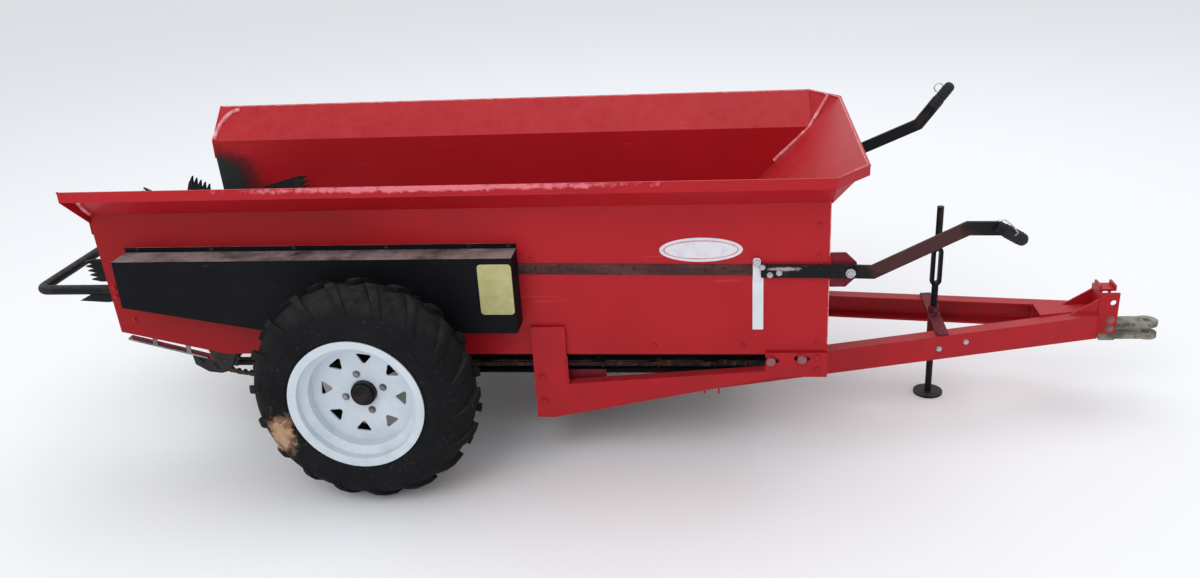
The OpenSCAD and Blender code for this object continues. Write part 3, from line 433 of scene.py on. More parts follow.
# %% Steel, rust and rubber
bare_steel = finish("bare_steel", (150, 150, 152), 0.35, [
    patches(30, 0.52, 0.1, (112, 108, 104), 0.5, 0.8),
    patches(90, 0.63, 0.03, (104, 72, 52), 0.85, 0.1)],
    metal=1.0, grain=(800, 0.12, 30, 0.1))
dark_steel = finish("dark_oiled_steel", (52, 50, 50), 0.5, [
    patches(24, 0.52, 0.1, (34, 32, 32), 0.6, 0.2),
    patches(80, 0.62, 0.04, (98, 66, 50), 0.85)],
    metal=0.5, grain=(600, 0.25, 40, 0.15))
bright_steel = finish("bright_steel", (186, 186, 190), 0.28, [
    patches(80, 0.60, 0.08, (140, 138, 136), 0.5, 0.9)],
    metal=1.0, grain=(900, 0.08, 60, 0.1))
rusty_steel = finish("rusty_steel", (98, 74, 60), 0.8, [
    patches(26, 0.50, 0.1, (64, 52, 46), 0.7),
    patches(70, 0.58, 0.06, (134, 98, 72), 0.9),
    patches(160, 0.64, 0.04, (140, 130, 122), 0.5, 0.5)],
    grain=(420, 0.5, 60, 0.25))
dark_chain = finish("dark_chain_steel", (48, 38, 34), 0.6, [
    patches(26, 0.50, 0.1, (32, 28, 27), 0.55, 0.3),
    patches(70, 0.58, 0.06, (92, 62, 48), 0.9)],
    metal=0.2, grain=(420, 0.5, 60, 0.25))
dark_link = finish("dark_link_steel", (68, 37, 41), 0.6, [
    patches(30, 0.52, 0.08, (88, 54, 54), 0.7, stretch=(0.2, 1, 1)),
    patches(110, 0.6, 0.05, (38, 32, 32), 0.7)],
    grain=(420, 0.4, 50, 0.2), shine=0.2)
mud = (-0.742, -0.612, 0.208)
rubber = finish("tyre_rubber", (19, 19, 21), 0.8, [
    patches(12, 0.52, 0.12, (26, 26, 28), 0.85),
    patches(80, 0.66, 0.06, (52, 52, 54), 0.95),
    dusted(30, 0.14, (104, 103, 102), 0.95),
    spot_of_stain_and_light(mud, (0.083, 0.16, 0.118), 34, 1.15, (120, 90, 72), 0.95),
    spot_of_stain_and_light(mud, (0.072, 0.16, 0.108), 62, 1.25, (178, 144, 116), 0.95)],
    grain=(900, 0.25, 40, 0.15), shine=0.12)
olive_deck = finish("oiled_deck", (44, 42, 34), 0.6, [
    patches(9, 0.5, 0.12, (66, 60, 46), 0.75),
    patches(60, 0.62, 0.05, (92, 78, 58), 0.9)],
    grain=(500, 0.3, 12, 0.2))
grip_rubber = finish("grip_rubber", (22, 22, 24), 0.6, [
    patches(70, 0.60, 0.08, (44, 44, 45), 0.75)],
    grain=(700, 0.3, 60, 0.1))

# %% [markdown]
# ## Paint the CAD nodes
# A node's mesh keeps its shape, and only its material is set here. The table names each node's
# finish by the first word of its name, and a few nodes have their own.

# %% Give every node its finish
by_word = {"side": red_box, "front": red_box, "corner": red_box, "deck": olive_deck,
           "runner": bare_steel, "frame": red_frame, "cross": red_frame, "beam": red_frame,
           "pole": red_frame, "hitch": red_frame, "clevis": hitch_steel, "leg": shaded_red,
           "parking": black_bar, "axle": bare_steel, "bearing": black_bar, "rim": rim_paint,
           "tyre": rubber, "hub": black_bar, "apron": dark_chain, "shaft": dark_steel,
           "drive": dark_chain, "cover": black_cover, "beater": black_bar, "guard": black_bar,
           "lever": black_bar, "pivot": shaded_red, "link": dark_link, "guide": white_rim}
by_name = {"side_left": red_dark_patch, "shaft_plate_front_right": worn_head,
           "shaft_plate_front_left": worn_head, "lever_right": worn_lever}
for name, piece in nodes.items():
    piece.data.materials.clear()
    piece.data.materials.append(by_name.get(name, by_word[name.split("_")[0]]))
print("painted:", len(nodes))

# %% [markdown]
# ## Making and placing pieces
# Each new piece is drawn with the usual modelling operators. `begin` clears the selection, because
# an operator acts on all that is selected, and `settle` puts the place into the mesh, recalculates
# the normals, gives the finish and ties the piece to the body that carries it.

# %% Helpers for modelling
AXLE_X, AXLE_Z, WHEEL_Y = -0.543, 0.29, 0.537
SIDES = (("right", -1), ("left", 1))


def begin(*objects):
    """Selects these objects and nothing else."""
    bpy.ops.object.select_all(action="DESELECT")
    for obj in objects:
        obj.select_set(True)
        bpy.context.view_layer.objects.active = obj


def put_away(*objects):
    begin(*objects)
    bpy.ops.object.delete()


def freeze(obj):
    """Puts an object's place, turn and scale into its mesh."""
    begin(obj)
    bpy.ops.object.transform_apply(location=True, rotation=True, scale=True)


def edit(obj, mode="VERT"):
    """Opens an object's mesh with all of it selected."""
    begin(obj)
    bpy.ops.object.mode_set(mode="EDIT")
    bpy.ops.mesh.select_mode(type=mode)
    bpy.ops.mesh.select_all(action="SELECT")


def done():
    bpy.ops.object.mode_set(mode="OBJECT")


def face_outward(obj):
    edit(obj, "FACE")
    bpy.ops.mesh.normals_make_consistent(inside=False)
    done()


def apply(obj, kind, **values):
    begin(obj)
    modifier = obj.modifiers.new(kind.lower(), kind)
    for key, value in values.items():
        setattr(modifier, key, value)
    bpy.ops.object.modifier_apply(modifier=modifier.name)


def settle(obj, name, material, body="frame", smooth=35.0):
    """Finishes a piece: transforms applied, normals outward, named, painted and carried."""
    freeze(obj)
    face_outward(obj)
    bpy.ops.object.shade_smooth_by_angle(angle=math.radians(smooth))
    obj.name = name
    obj.data.name = name
    obj.data.materials.clear()
    obj.data.materials.append(material)
    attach(obj, body)
    print(name, "faces:", len(obj.data.polygons))


def copy_to(obj, place, turn=(0.0, 0.0, 0.0)):
    begin(obj)
    bpy.ops.object.duplicate(linked=False)
    twin = bpy.context.object
    twin.location = place
    twin.rotation_euler = turn
    return twin


def joined(objects):
    begin(*objects)
    bpy.ops.object.join()
    return bpy.context.object


def drawn_loop(points):
    """A closed loop of edges through points, from a circle with as many corners."""
    begin()
    bpy.ops.mesh.primitive_circle_add(vertices=len(points), fill_type="NOTHING")
    obj = bpy.context.object
    for corner, point in zip(obj.data.vertices, points):
        corner.co = point
    return obj


def turned(points, steps):
    """A closed profile of (radius, place along Y) spun once round the Y axis."""
    obj = drawn_loop([(r, along, 0.0) for r, along in points])
    edit(obj)
    bpy.ops.mesh.spin(
        steps=steps, angle=2 * math.pi, center=(0.0, 0.0, 0.0), axis=(0.0, 1.0, 0.0))
    bpy.ops.mesh.select_all(action="SELECT")
    bpy.ops.mesh.remove_doubles(threshold=0.00005)
    done()
    return obj


def sheet_plate(points, thickness, bevel=0.0):
    """A flat plate on the X-Y plane, its edge rounded when a bevel is given, its outline given in
    order.
    """
    obj = drawn_loop([(x, y, 0.0) for x, y in points])
    edit(obj)
    bpy.ops.mesh.edge_face_add()
    bpy.ops.mesh.extrude_region_move(TRANSFORM_OT_translate={"value": (0.0, 0.0, thickness)})
    done()
    if bevel:
        apply(obj, "BEVEL", width=bevel, segments=2, limit_method="ANGLE")
    return obj


# %% [markdown]
# ## Tyres
# These are field tyres: a round, smooth side and about eighteen long slanted lugs on each side of
# the middle, which run from the crown over the shoulder. A photograph or a bump map could stand in
# for the tread, but the lugs make the wheel's outline, so they are modelled. One lug is drawn and
# bent over the shoulder, then copied round the carcass.

# %% The carcass
TYRE_R, LUGS, LUG_H = 0.290, 18, 0.014
base_r = TYRE_R - LUG_H - 0.001
profile = [(0.1525, 0.073), (0.170, 0.079), (0.178, 0.0825), (0.196, 0.0847), (0.214, 0.0842),
           (0.232, 0.0795), (0.246, 0.0705), (0.257, 0.0590), (0.266, 0.0440), (0.2725, 0.0250),
           (base_r, 0.0090), (base_r + 0.0004, 0.0)]
profile = profile + [(r, -y) for r, y in reversed(profile[:-1])]
carcass = turned(profile, 90)
print("carcass faces:", len(carcass.data.polygons))

# %% One lug: its stretches from the crown to the side as (Y, radius, way round)
stretches = [(0.004, TYRE_R - 0.0005, 0.0), (0.024, TYRE_R - 0.003, 0.011),
             (0.044, TYRE_R - 0.0115, 0.022), (0.060, TYRE_R - 0.0235, 0.031),
             (0.072, TYRE_R - 0.037, 0.038), (0.0805, TYRE_R - 0.053, 0.045)]
LUG_HALF, LUG_TAPER, LUG_DEPTH = 0.0125, 0.22, 0.024
SHOULDER_Y, SHOULDER_W, SIDE_DEPTH = 0.04, 0.045, 0.014
last = len(stretches) - 1
begin()
bpy.ops.mesh.primitive_grid_add(x_subdivisions=2, y_subdivisions=last, size=1.0)
lug = bpy.context.object
for corner in lug.data.vertices:
    row = round((corner.co.y + 0.5) * last)
    y, r, along = stretches[row]
    half = LUG_HALF * (1.0 - LUG_TAPER * row / last)
    angle = (along + 2 * corner.co.x * half) / r
    corner.co = (r * math.sin(angle), y, r * math.cos(angle))
edit(lug, "FACE")
bpy.ops.mesh.extrude_region_move(TRANSFORM_OT_translate={"value": (0.0, 0.0, 0.0)})
done()
for corner in lug.data.vertices:
    if corner.select:
        deep = Vector((corner.co.x, 0.0, corner.co.z)).normalized() * -LUG_DEPTH
        inward = -SIDE_DEPTH * max(0.0, (abs(corner.co.y) - SHOULDER_Y) / SHOULDER_W)
        corner.co += deep + Vector((0.0, inward, 0.0))
apply(lug, "BEVEL", width=0.0022, segments=2, limit_method="ANGLE", angle_limit=math.radians(40))
print("lug faces:", len(lug.data.polygons))

# %% Copies of the lug round the tyre, and its mirror on the other half in between
CENTRE = (0.0, 0.0, 0.0)
other = copy_to(lug, CENTRE)
other.scale = (1.0, -1.0, 1.0)
freeze(other)
face_outward(other)
pieces = [carcass, lug]
for k in range(LUGS):
    spin = 2 * math.pi * k / LUGS
    if k:
        pieces.append(copy_to(lug, CENTRE, (0.0, spin, 0.0)))
    pieces.append(copy_to(other, CENTRE, (0.0, spin + math.pi / LUGS, 0.0)))
put_away(other)
tyre = joined(pieces)
print("tyre faces:", len(tyre.data.polygons))

# %% A raised ring near the bead and one on the side, then both tyres in place
ribs = []
for r, y, thick in ((0.176, 0.0815, 0.0016), (0.206, 0.0845, 0.0009)):
    for sign in (-1, 1):
        begin()
        bpy.ops.mesh.primitive_torus_add(
            major_radius=r, minor_radius=thick, major_segments=90, minor_segments=6,
            location=(0.0, sign * y, 0.0), rotation=(math.pi / 2, 0.0, 0.0))
        ribs.append(bpy.context.object)
tyre = joined([tyre] + ribs)
freeze(tyre)
left_tyre = copy_to(tyre, (AXLE_X, WHEEL_Y, AXLE_Z), (0.0, 0.09, 0.0))
tyre.location = (AXLE_X, -WHEEL_Y, AXLE_Z)
for obj, side in ((tyre, "right"), (left_tyre, "left")):
    settle(obj, "tread_" + side, rubber, "wheel_" + side, 40.0)
    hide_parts("tyre_" + side)

# %% [markdown]
# ## Bolts
# Bolt heads are small, but their even spacing tells that sheet and frame are screwed together. One
# hexagon head with its washer is modelled and every set of bolts is copies of it, joined into one
# mesh for each body.

# %% Places in the drawing's millimetres
WALL_Y, COVER_Y, FRAME_Y = -360.0, -432.0, -370
POST_X, POLE_HALF, BEAM_SPREAD = 1866, 49, 0.218
BEATER_X, BEATER_Z = -612, 512


def at(x, y, z):
    """A place forward of the axle, to the left of the middle and up from the ground."""
    return Vector((x / 1000 + AXLE_X, y / 1000, z / 1000))


def beam_y(x):
    """How far a tongue beam's outer face stands from the middle."""
    return POLE_HALF + BEAM_SPREAD * (POST_X - x)


print("rear edge of the walls at", at(-735, 0, 0))

# %% One bolt head and a way to set many
def drum(corners, radius, depth, middle, edge, segments):
    """A short upright cylinder with broken edges."""
    begin()
    bpy.ops.mesh.primitive_cylinder_add(
        vertices=corners, radius=radius, depth=depth, location=(0.0, 0.0, middle))
    obj = bpy.context.object
    apply(obj, "BEVEL", width=edge, segments=segments, limit_method="ANGLE")
    return obj


def bolt_head(radius, height):
    """A hexagon head on its washer, standing on the X-Y plane."""
    head = drum(6, radius, height, height / 2 + 0.0012, radius * 0.16, 2)
    washer = drum(20, radius * 1.35, 0.0024, 0.0004, 0.0006, 1)
    made = joined([head, washer])
    freeze(made)
    return made


FACING = {"-y": (math.pi / 2, 0.0, 0.0), "+y": (-math.pi / 2, 0.0, 0.0), "+z": (0.0, 0.0, 0.0),
          "-z": (math.pi, 0.0, 0.0)}


def both_sides(y, places):
    """Rows of x, y, z and a facing, for places (x, z) at y on the right and again on the left."""
    return [(x, y, z, "-y") for x, z in places] + [(x, -y, z, "+y") for x, z in places]


def bolts(name, head, rows, material):
    """Copies of a head at rows of x, y, z in millimetres and a facing, joined into one piece."""
    made = [copy_to(head, at(x, y, z), FACING[way]) for x, y, z, way in rows]
    settle(joined(made), name, material)


m5 = bolt_head(0.0042, 0.003)
m6 = bolt_head(0.0055, 0.004)
m8 = bolt_head(0.0072, 0.0052)
m10 = bolt_head(0.0088, 0.006)

# %% Bolts of the cover, the walls and the frame
bolts("cover_bolts", m5, [(x, WALL_Y - 2.5, 597, "-y") for x in (-620, -420, -200, 40, 250, 350)],
      dark_steel)
bolts("wall_bolts", m6, both_sides(WALL_Y, (
    (-712, 492), (-712, 468), (-690, 560), (-676, 400), (430, 352), (430, 330), (405, 560),
    (700, 325), (920, 325), (1100, 560), (1100, 640), (1100, 330))), red_frame)
bolts("frame_bolts", m8, both_sides(FRAME_Y, ((410, 170), (410, 240), (1100, 262), (1100, 296))),
      red_frame)
bolts("lever_bolts", m10, both_sides(-380, ((1173, 523), )), bright_steel)
bolts("link_bolts", m6, both_sides(-371.5, ((966, 537), (984, 517), (1006, 522))), bright_steel)

# %% Bolts of the tongue and the hitch
places = ((1438, 209), (1509, 222))
bolts("beam_bolts", m6, [(x, -beam_y(x), z, "-y") for x, z in places]
      + [(x, beam_y(x), z, "+y") for x, z in places], bright_steel)
bolts("post_bolts", m10, [
    (1899, -38, 245, "-y"), (1899, 38, 245, "+y"), (1899, -38, 220, "-y"),
    (1899, 38, 220, "+y")], worn_head)

# %% Rivets that hold the apron's slats to its chains, on the upper run and the return run
CHAIN_Y, SLAT_PITCH = 294, 144.6
rivets = []
for y in (-CHAIN_Y, CHAIN_Y):
    for k in range(10):
        rivets.append((-389 + SLAT_PITCH * k, y, 320.4, "+z"))
        rivets.append((979 - SLAT_PITCH * k, y, 255.6, "-z"))
bolts("slat_rivets", m6, rivets, dark_link)

# %% Bolts through the foot of each paddle, a head on one face and a nut on the other
PADDLE_TURNS, PADDLE_SLANT, PADDLE_END = (90, 55, 20, -50, 70, -75, 90, 75), 75, 286
PADDLE_FACE, BOLT_APART, BOLT_UP = 0.003, 0.017, 0.056
made = []
for k, station in enumerate(PADDLE_TURNS):
    for flip in (0, 180):
        round_shaft = Matrix.Rotation(math.radians(station + flip), 4, "Y")
        slant = Matrix.Rotation(math.radians(PADDLE_SLANT), 4, "Z")
        middle = Vector((0.0, (-PADDLE_END + k * 2 * PADDLE_END / 7) / 1000, 0.0))
        for across in (-BOLT_APART, BOLT_APART):
            for face, lean in ((PADDLE_FACE, 90), (-PADDLE_FACE, -90)):
                place = round_shaft @ (middle + slant @ Vector((face, across, BOLT_UP)))
                way = round_shaft @ slant @ Matrix.Rotation(math.radians(lean), 4, "Y")
                made.append(copy_to(m6, at(BEATER_X, 0, BEATER_Z) + place, way.to_euler()))
settle(joined(made), "paddle_bolts", dark_steel, "beater")

# %% [markdown]
# ## Wheel centres
# The white disc of the rim is pressed steel: a round bead near its edge stiffens it, a pad in the
# middle takes four nuts, and the valve stands between. The bead could be a bump, but it catches the
# light as a real ring, so it is spun from a small profile.

# %% Bead and pad, with grey rings along both sides of the bead: painted shade at its foot, and grime
FACE = 0.0102
UNDER, BOLT_CIRCLE_R, VALVE_R = FACE - 0.002, 0.0508, 0.139


def on_wheel(obj, sign, x=0.0, y=0.0, z=0.0):
    """Puts a piece drawn for the left wheel on the wheel of a side, from the wheel's middle."""
    obj.scale = (1.0, sign, 1.0)
    obj.location = (AXLE_X + x, sign * (WHEEL_Y + y), AXLE_Z + z)


def flat_ring(inner_r, outer_r):
    high = FACE + 0.0005
    return turned([(inner_r, UNDER), (inner_r, high), (outer_r, high), (outer_r, UNDER)], 72)


for side, sign in SIDES:
    bead = turned([(0.1215, UNDER), (0.1240, FACE + 0.0042), (0.1265, FACE + 0.0062),
                   (0.1290, FACE + 0.0042), (0.1315, UNDER)], 72)
    pad = turned([(0.0325, UNDER), (0.0325, FACE + 0.0022), (0.0650, FACE + 0.0022),
                  (0.0675, UNDER)], 48)
    disc = joined([bead, pad])
    on_wheel(disc, sign)
    settle(disc, "disc_rings_" + side, rim_paint, "wheel_" + side, 40.0)
    grime = joined([flat_ring(0.1165, 0.1212), flat_ring(0.1318, 0.1350)])
    on_wheel(grime, sign)
    settle(grime, "bead_ring_shade_and_grime_" + side, rim_bead_shade_and_grime, "wheel_" + side, 40.0)

# %% Lug nuts with their washers
for side, sign in SIDES:
    made = []
    for k in range(4):
        turn = math.radians(15 + 90 * k)
        place = (AXLE_X + BOLT_CIRCLE_R * math.cos(turn), sign * (WHEEL_Y + 0.0128),
                 AXLE_Z + BOLT_CIRCLE_R * math.sin(turn))
        made.append(copy_to(m8, place, FACING["-y" if sign < 0 else "+y"]))
    settle(joined(made), "wheel_nuts_" + side, bare_steel, "wheel_" + side)

# %% Valve stems: a rubber foot, a thin neck and a cap, turned as one profile
turn = math.radians(18)
for side, sign in SIDES:
    stem = turned([(0.0, 0.0), (0.0052, 0.0), (0.0046, 0.009), (0.0032, 0.013), (0.0030, 0.020),
                   (0.0042, 0.021), (0.0042, 0.029), (0.0030, 0.031), (0.0, 0.031)], 16)
    on_wheel(stem, sign, VALVE_R * math.cos(turn), 0.004, VALVE_R * math.sin(turn))
    settle(stem, "valve_" + side, grip_rubber, "wheel_" + side, 40.0)

# %% Grease caps pressed over the ends of the axle
for side, sign in SIDES:
    cap = turned([(0.0, 0.0305), (0.012, 0.0300), (0.0225, 0.0275), (0.0290, 0.0215),
                  (0.0312, 0.0130), (0.0312, 0.0060), (0.0, 0.0060)], 40)
    on_wheel(cap, sign, y=0.001)
    settle(cap, "grease_cap_" + side, black_bar, "wheel_" + side, 40.0)

# %% [markdown]
# ## Plates
# A plate with rounded corners sits on the drive cover and an oval one on the wall. Both are thin
# sheet, and the oval has a raised border. They stay blank: the border and the worn paint are their
# whole detail.

# %% Outlines
def round_corners(x0, z0, x1, z1, radius, steps=4):
    """Corner points of a rectangle with rounded corners, in millimetres."""
    made = []
    for cx, cz, start in ((x1 - radius, z1 - radius, 0), (x0 + radius, z1 - radius, 90),
                          (x0 + radius, z0 + radius, 180), (x1 - radius, z0 + radius, 270)):
        for k in range(steps + 1):
            turn = math.radians(start + 90 * k / steps)
            made.append((cx + radius * math.cos(turn), cz + radius * math.sin(turn)))
    return made


def oval(cx, cz, half_x, half_z, steps=64):
    turns = [2 * math.pi * k / steps for k in range(steps)]
    return [(cx + half_x * math.cos(turn), cz + half_z * math.sin(turn)) for turn in turns]


def upright(points, y, thickness, bevel=0.0004):
    """A plate on a wall that faces the right side, from points in millimetres."""
    obj = sheet_plate([(x / 1000 + AXLE_X, z / 1000) for x, z in points], thickness, bevel)
    obj.rotation_euler = (math.pi / 2, 0.0, 0.0)
    obj.location = (0.0, y / 1000, 0.0)
    return obj


# %% The olive plate on the cover, and the oval on the wall with its border
OVAL_X, OVAL_Z = 819.5, 580
settle(upright(round_corners(282, 443, 366, 575, 9), COVER_Y, 0.0012), "cover_plate", plate_olive)
for name, half_x, half_z, out, thickness, bevel, paint in (
        ("oval_plate", 100.5, 31, 0, 0.0012, 0.0004, plate_white),
        ("oval_border", 91, 24.5, 0.9, 0.0007, 0.0, plate_edge),
        ("oval_field", 87, 21.5, 1.4, 0.0007, 0.0, plate_white)):
    plate = upright(oval(OVAL_X, OVAL_Z, half_x, half_z), WALL_Y - out, thickness, bevel)
    settle(plate, name, paint)

# %% [markdown]
# ## Wires, clips and welds
# Round wire and weld beads both follow a path with a round section. A curve with a bevel depth
# gives that section for nothing, and turning it into a mesh afterwards makes it a piece like the
# others. A weld's thickness rises and falls along the path, which gives the ripple of its drops.

# %% A rod along a path
def rod(points, radius, sides=4, ripple=0.0):
    """A mesh rod through points in metres; ripple makes every second point thicker."""
    curve = bpy.data.curves.new("rod", "CURVE")
    curve.dimensions = "3D"
    curve.bevel_depth = radius
    curve.bevel_resolution = sides
    curve.use_fill_caps = True
    line = curve.splines.new("POLY")
    line.points.add(len(points) - 1)
    for k, point in enumerate(points):
        line.points[k].co = (*point, 1.0)
        line.points[k].radius = 1.0 + ripple * (k % 2)
    obj = bpy.data.objects.new("rod", curve)
    bpy.context.collection.objects.link(obj)
    begin(obj)
    bpy.ops.object.convert(target="MESH")
    return bpy.context.object


def arc(centre, radius, start, end, steps):
    """Points of an arc that stands in the X-Z plane, between two angles in degrees."""
    turns = [math.radians(start + (end - start) * k / steps) for k in range(steps + 1)]
    return [centre + radius * Vector((math.cos(turn), 0.0, math.sin(turn))) for turn in turns]


def bead_line(start, end, radius=0.0022, pitch=0.0035):
    """A weld bead between two places."""
    count = max(4, int((end - start).length / pitch))
    steps = [start + (end - start) * k / count for k in range(count + 1)]
    return rod(steps, radius, 2, ripple=0.28)


# %% Welds of the hitch, the tongue, the pivot plates and the frame, as x, y, z to x, z
weld_rows = ((POST_X, POLE_HALF, 200, POST_X, 262), (861, beam_y(860), 178, 861, 218),
             (1796, 38.5, 260.5, 1864, 263), (POST_X, 38.5, 264, POST_X, 304),
             (1126.5, 361, 500, 1126.5, 560), (475, 371, 222, 475, 300))
welds = []
for sign in (-1, 1):
    for x0, y, z0, x1, z1 in weld_rows:
        welds.append(bead_line(at(x0, sign * y, z0), at(x1, sign * y, z1)))
settle(joined(welds), "welds", red_frame, smooth=60.0)

# %% Rubber grips over the ends of the levers, with rings and a round end
PIVOT_X, PIVOT_Z, LEVER_Y = 1173, 523, -366
GRIP_R, RING_R = 0.0152, 0.0163


def by_pivot(x, y, z):
    """A place forward of a lever's pivot and up from it."""
    return at(PIVOT_X + x, y, PIVOT_Z + z)


def grip(start, end):
    length = (end - start).length
    profile = [(0.0, 0.0), (GRIP_R, 0.0)]
    for k in range(1, 6):
        place = length * (0.12 + 0.14 * k)
        profile += [(GRIP_R, place - 0.004), (RING_R, place), (GRIP_R, place + 0.004)]
    profile += [(GRIP_R, length), (0.0128, length + 0.006), (0.0070, length + 0.0105),
                (0.0, length + 0.0115)]
    obj = turned(profile, 24)
    obj.rotation_euler = Vector((0.0, 1.0, 0.0)).rotation_difference(end - start).to_euler()
    obj.location = start
    return obj


settle(grip(by_pivot(343, LEVER_Y, 101), by_pivot(388, LEVER_Y, 75)), "grip_right", grip_rubber,
       smooth=30.0)
settle(grip(by_pivot(300, -LEVER_Y, 218), by_pivot(344, -LEVER_Y, 276)), "grip_left", grip_rubber,
       smooth=30.0)

# %% Wire clips: a ring that stands on the left lever, a bent wire on the right, the link's clip
ring_place = by_pivot(314, -LEVER_Y, 274)
loop = rod(arc(ring_place, 0.0125, -60, 250, 20), 0.0018)
legs = rod([ring_place + Vector(step) for step in (
    (0.004, 0.0, -0.012), (0.012, 0.0, -0.030), (0.016, 0.003, -0.040))], 0.0018)
wire = rod([by_pivot(x, LEVER_Y - out, z) for x, out, z in (
    (330, 4, 122), (342, 8, 128), (362, 14, 112), (372, 17, 98), (366, 17, 92))], 0.0019)
clip = rod(arc(at(953, -374, 549), 0.008, 20, 300, 14), 0.0016)
settle(joined([loop, legs, wire, clip]), "wire_clips", bright_steel, smooth=60.0)

# %% The leg's pin with its pull ring
pin = rod([at(1446, -26, 262), at(1446, 32, 262)], 0.0042, 6)
pull = rod(arc(at(1446, -30, 250), 0.013, 90, 430, 20), 0.0015)
settle(joined([pin, pull]), "leg_pin", rusty_steel, smooth=60.0)

# %% [markdown]
# ## Rolled edges
# Thin sheet this long would flap and cut, so its free rear edges are usually rolled back on
# themselves. The bright line along the rear of each flare is read here as such a roll.

# %% Rolls along the rear edges of the walls and flares
BEND_Z, TOP_Z, FLARE_OUT, FLARE_UP = 694, 780.9, 100, 89
REAR_X, FRONT_X, CORNER_X = -734.5, 1122, 1206
rolls = []
for sign in (-1, 1):
    path = [at(REAR_X, sign * 358.5, 640), at(REAR_X, sign * 358.5, BEND_Z)]
    path += [at(REAR_X, sign * (358.5 + FLARE_OUT * k / 6), BEND_Z + FLARE_UP * k / 6)
             for k in range(1, 7)]
    rolls.append(rod(path, 0.0028, 3))
settle(joined(rolls), "rolled_edges", red_box, smooth=60.0)

# %% Bright edges, a painted highlight: along the top of the flares, the front and the corners, and the seams
EDGE_R, SEAM_R = 0.0017, 0.0055
edges = []
for sign in (-1, 1):
    edges.append(rod([at(x, sign * 455.4, TOP_Z) for x in (-728, 200, FRONT_X)], EDGE_R, 3))
    edges.append(rod([at(1126, sign * 455, TOP_Z), at(1166, sign * 404, TOP_Z),
                      at(CORNER_X, sign * 352, TOP_Z)], EDGE_R, 3))
    edges.append(rod([at(1020, sign * 354, 594), at(FRONT_X, sign * 354, 692),
                      at(1150, sign * 374, 737), at(1177, sign * 389, 777)], SEAM_R, 4))
    edges.append(rod([at(1125, sign * 359.2, 330), at(1125, sign * 359.2, 690)], 0.0012, 3))
edges.append(rod([at(CORNER_X, -350, TOP_Z), at(CORNER_X, 350, TOP_Z)], EDGE_R, 3))
settle(joined(edges), "bright_edges", edge_highlight_paint, smooth=60.0)

# %% A curved fold inside the rear corner of each flare, pale as a painted highlight
folds = []
for sign in (-1, 1):
    path = []
    for k in range(9):
        turn = math.radians(90 * k / 8)
        climb = 0.04 + 0.84 * math.sin(turn)
        path.append(at(-668 - 62 * math.cos(turn), sign * (355.5 + FLARE_OUT * climb),
                       BEND_Z + FLARE_UP * climb))
    folds.append(rod(path, 0.0068, 4))
settle(joined(folds), "flare_folds", edge_highlight_paint, smooth=60.0)

# %% [markdown]
# ## Under the box
# Through the long window of the frame the photograph shows only dark bands and one red piece. The
# rails and webs here are a guess at what makes them: angles that the apron's return run slides on,
# and a strip under each edge of the deck. Their near-black colour is painted shade for the dark
# under the box.

# %% Webs under the deck and rails under the return run
def long_bar(x0, y0, z0, x1, y1, z1):
    """A straight bar between two opposite corners in millimetres, its edges broken."""
    low, high = at(x0, y0, z0), at(x1, y1, z1)
    begin()
    bpy.ops.mesh.primitive_cube_add(size=1.0, location=(low + high) / 2)
    obj = bpy.context.object
    obj.scale = [abs(v) for v in (high - low)]
    freeze(obj)
    apply(obj, "BEVEL", width=0.0008, segments=2, limit_method="ANGLE")
    return obj


WEB_Y, RAIL_Y, PLATE_Y = (296, 293, 281), (329, 297, 293), (332, 329.4)
for side, sign in SIDES:
    web = [long_bar(-404, sign * WEB_Y[0], 255, 990, sign * WEB_Y[1], 310.4),
           long_bar(-404, sign * WEB_Y[1], 255, 990, sign * WEB_Y[2], 258)]
    settle(joined(web), "deck_web_" + side, shaded, smooth=30.0)
    rail = [long_bar(-380, sign * RAIL_Y[0], 231, 960, sign * RAIL_Y[2], 235),
            long_bar(-380, sign * RAIL_Y[1], 218, 818, sign * RAIL_Y[2], 231)]
    settle(joined(rail), "return_rail_" + side, shaded, smooth=30.0)
    settle(long_bar(450, sign * PLATE_Y[0], 212, 570, sign * PLATE_Y[1], 242),
           "rail_plate_" + side, shaded_red, smooth=30.0)

# %% The keeper that holds the link against its guide
keeper = upright([(943.5, 500), (962.5, 500), (962.5, 553), (958, 559), (948, 559), (943.5, 553)],
                 -363.2, 0.0022, 0.0005)
settle(keeper, "strip_keeper", plate_white, smooth=30.0)

# %% Hooked links of the apron's chain: a knuckle and two bars, along the return run
LINK_PITCH = 69
knuckle = turned([(0.0, -0.011), (0.0065, -0.011), (0.0075, -0.010), (0.0075, 0.010),
                  (0.0065, 0.011), (0.0, 0.011)], 10)
begin()
bpy.ops.mesh.primitive_cube_add(size=1.0, location=(0.032, -0.0095, 0.0))
link_bar = bpy.context.object
link_bar.scale = (0.062, 0.0035, 0.012)
freeze(link_bar)
apply(link_bar, "BEVEL", width=0.0012, segments=1, limit_method="ANGLE")
chain_link = joined([knuckle, link_bar, copy_to(link_bar, (0.0, 0.019, 0.0))])
freeze(chain_link)
for side, sign in SIDES:
    run = [copy_to(chain_link, at(x, sign * 310, 252)) for x in range(-436, 1000, LINK_PITCH)]
    settle(joined(run), "return_links_" + side, dark_chain, smooth=40.0)
put_away(chain_link)

# %% [markdown]
# ## Rear end of the apron
# Behind the wheel the photograph shows a small dark shape with what looks like a chain. It is read
# here as the apron's tightener: a toothed wheel on the rear shaft, a bracket with two bolts and a
# short chain. The left side isn't in the photograph and mirrors all but the chain.

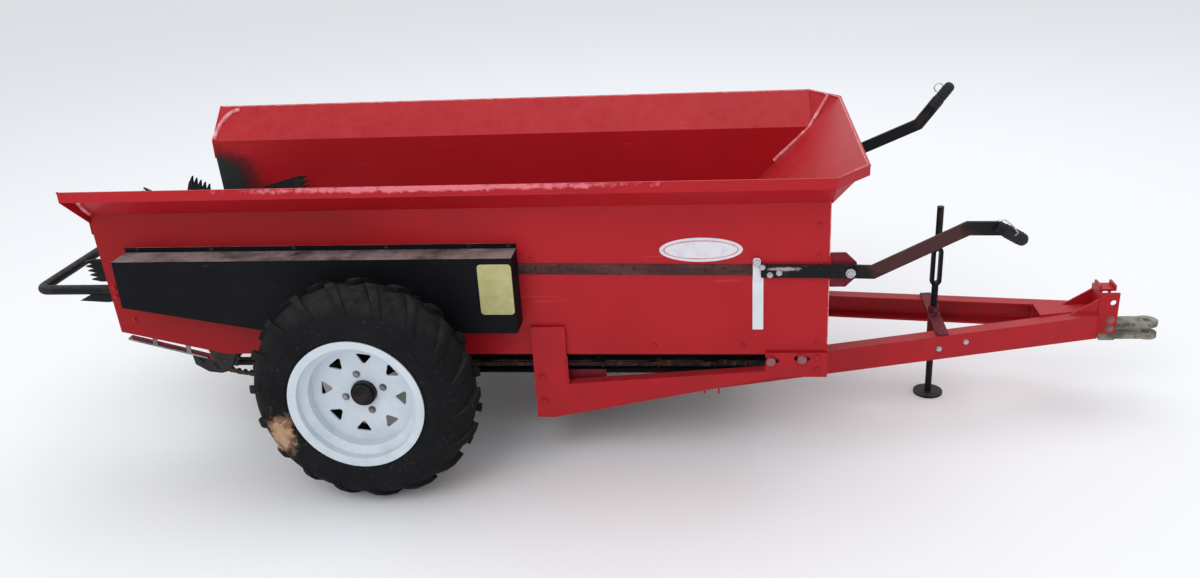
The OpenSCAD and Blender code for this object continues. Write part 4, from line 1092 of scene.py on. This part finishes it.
# %% Toothed wheel: a plate whose outline steps between the roots and the tips of its teeth
def toothed_wheel(radius, teeth, thickness):
    root = radius - 6
    points = []
    for k in range(teeth):
        for part, r in ((0.05, root), (0.30, root), (0.45, radius), (0.70, radius)):
            turn = 2 * math.pi * (k + part) / teeth
            points.append((r / 1000 * math.cos(turn), r / 1000 * math.sin(turn)))
    obj = sheet_plate(points, thickness / 1000, 0.0008)
    obj.rotation_euler = (math.pi / 2, 0.0, 0.0)
    return obj


for side, sign in SIDES:
    wheel = toothed_wheel(41, 11, 7)
    wheel.location = at(-450, sign * 345 + 3.5, 288)
    settle(wheel, "tightener_wheel_" + side, dark_steel, smooth=30.0)
    plate = upright([(-545, 300), (-470, 276), (-452, 262), (-448, 242), (-470, 236), (-505, 240),
                     (-540, 262)], -343 if sign < 0 else 349, 0.005, 0.0008)
    settle(plate, "tightener_bracket_" + side, dark_steel, smooth=30.0)
    guide = upright([(-700, 350), (-480, 292), (-480, 276), (-700, 334)],
                    -349 if sign < 0 else 353, 0.004, 0.0006)
    settle(guide, "lower_guide_" + side, shaded_red, smooth=30.0)
bolts("tightener_bolts", m8, both_sides(-348, ((-522, 274), (-484, 256))), dark_steel)

# %% A short roller chain from the tightener forward, and the pointed plate under the guard
ROLLER_PITCH, ROLLERS = 17, 9
roller = turned([(0.0, -0.006), (0.0062, -0.006), (0.0062, 0.006), (0.0, 0.006)], 12)
chain = []
for k in range(ROLLERS):
    x, z = -440 + ROLLER_PITCH * k, 246 - 10 * math.sin(math.pi * k / 8)
    chain.append(copy_to(roller, at(x, -346, z)))
    chain.append(upright(
        oval(x + 8.5, z - 0.5, 12.5, 6.5, 14), -352 if k % 2 else -350, 0.0016, 0.0))
settle(joined(chain), "tightener_chain", dark_chain, smooth=40.0)
put_away(roller)
for side, sign in SIDES:
    foot = upright([(-822, 452), (-790, 468), (-700, 470), (-700, 452), (-745, 447)],
                   -348 if sign < 0 else 352, 0.005, 0.0008)
    settle(foot, "guard_foot_" + side, black_bar, smooth=30.0)

# %% Put the spare bolt heads away
put_away(m5, m6, m8, m10)
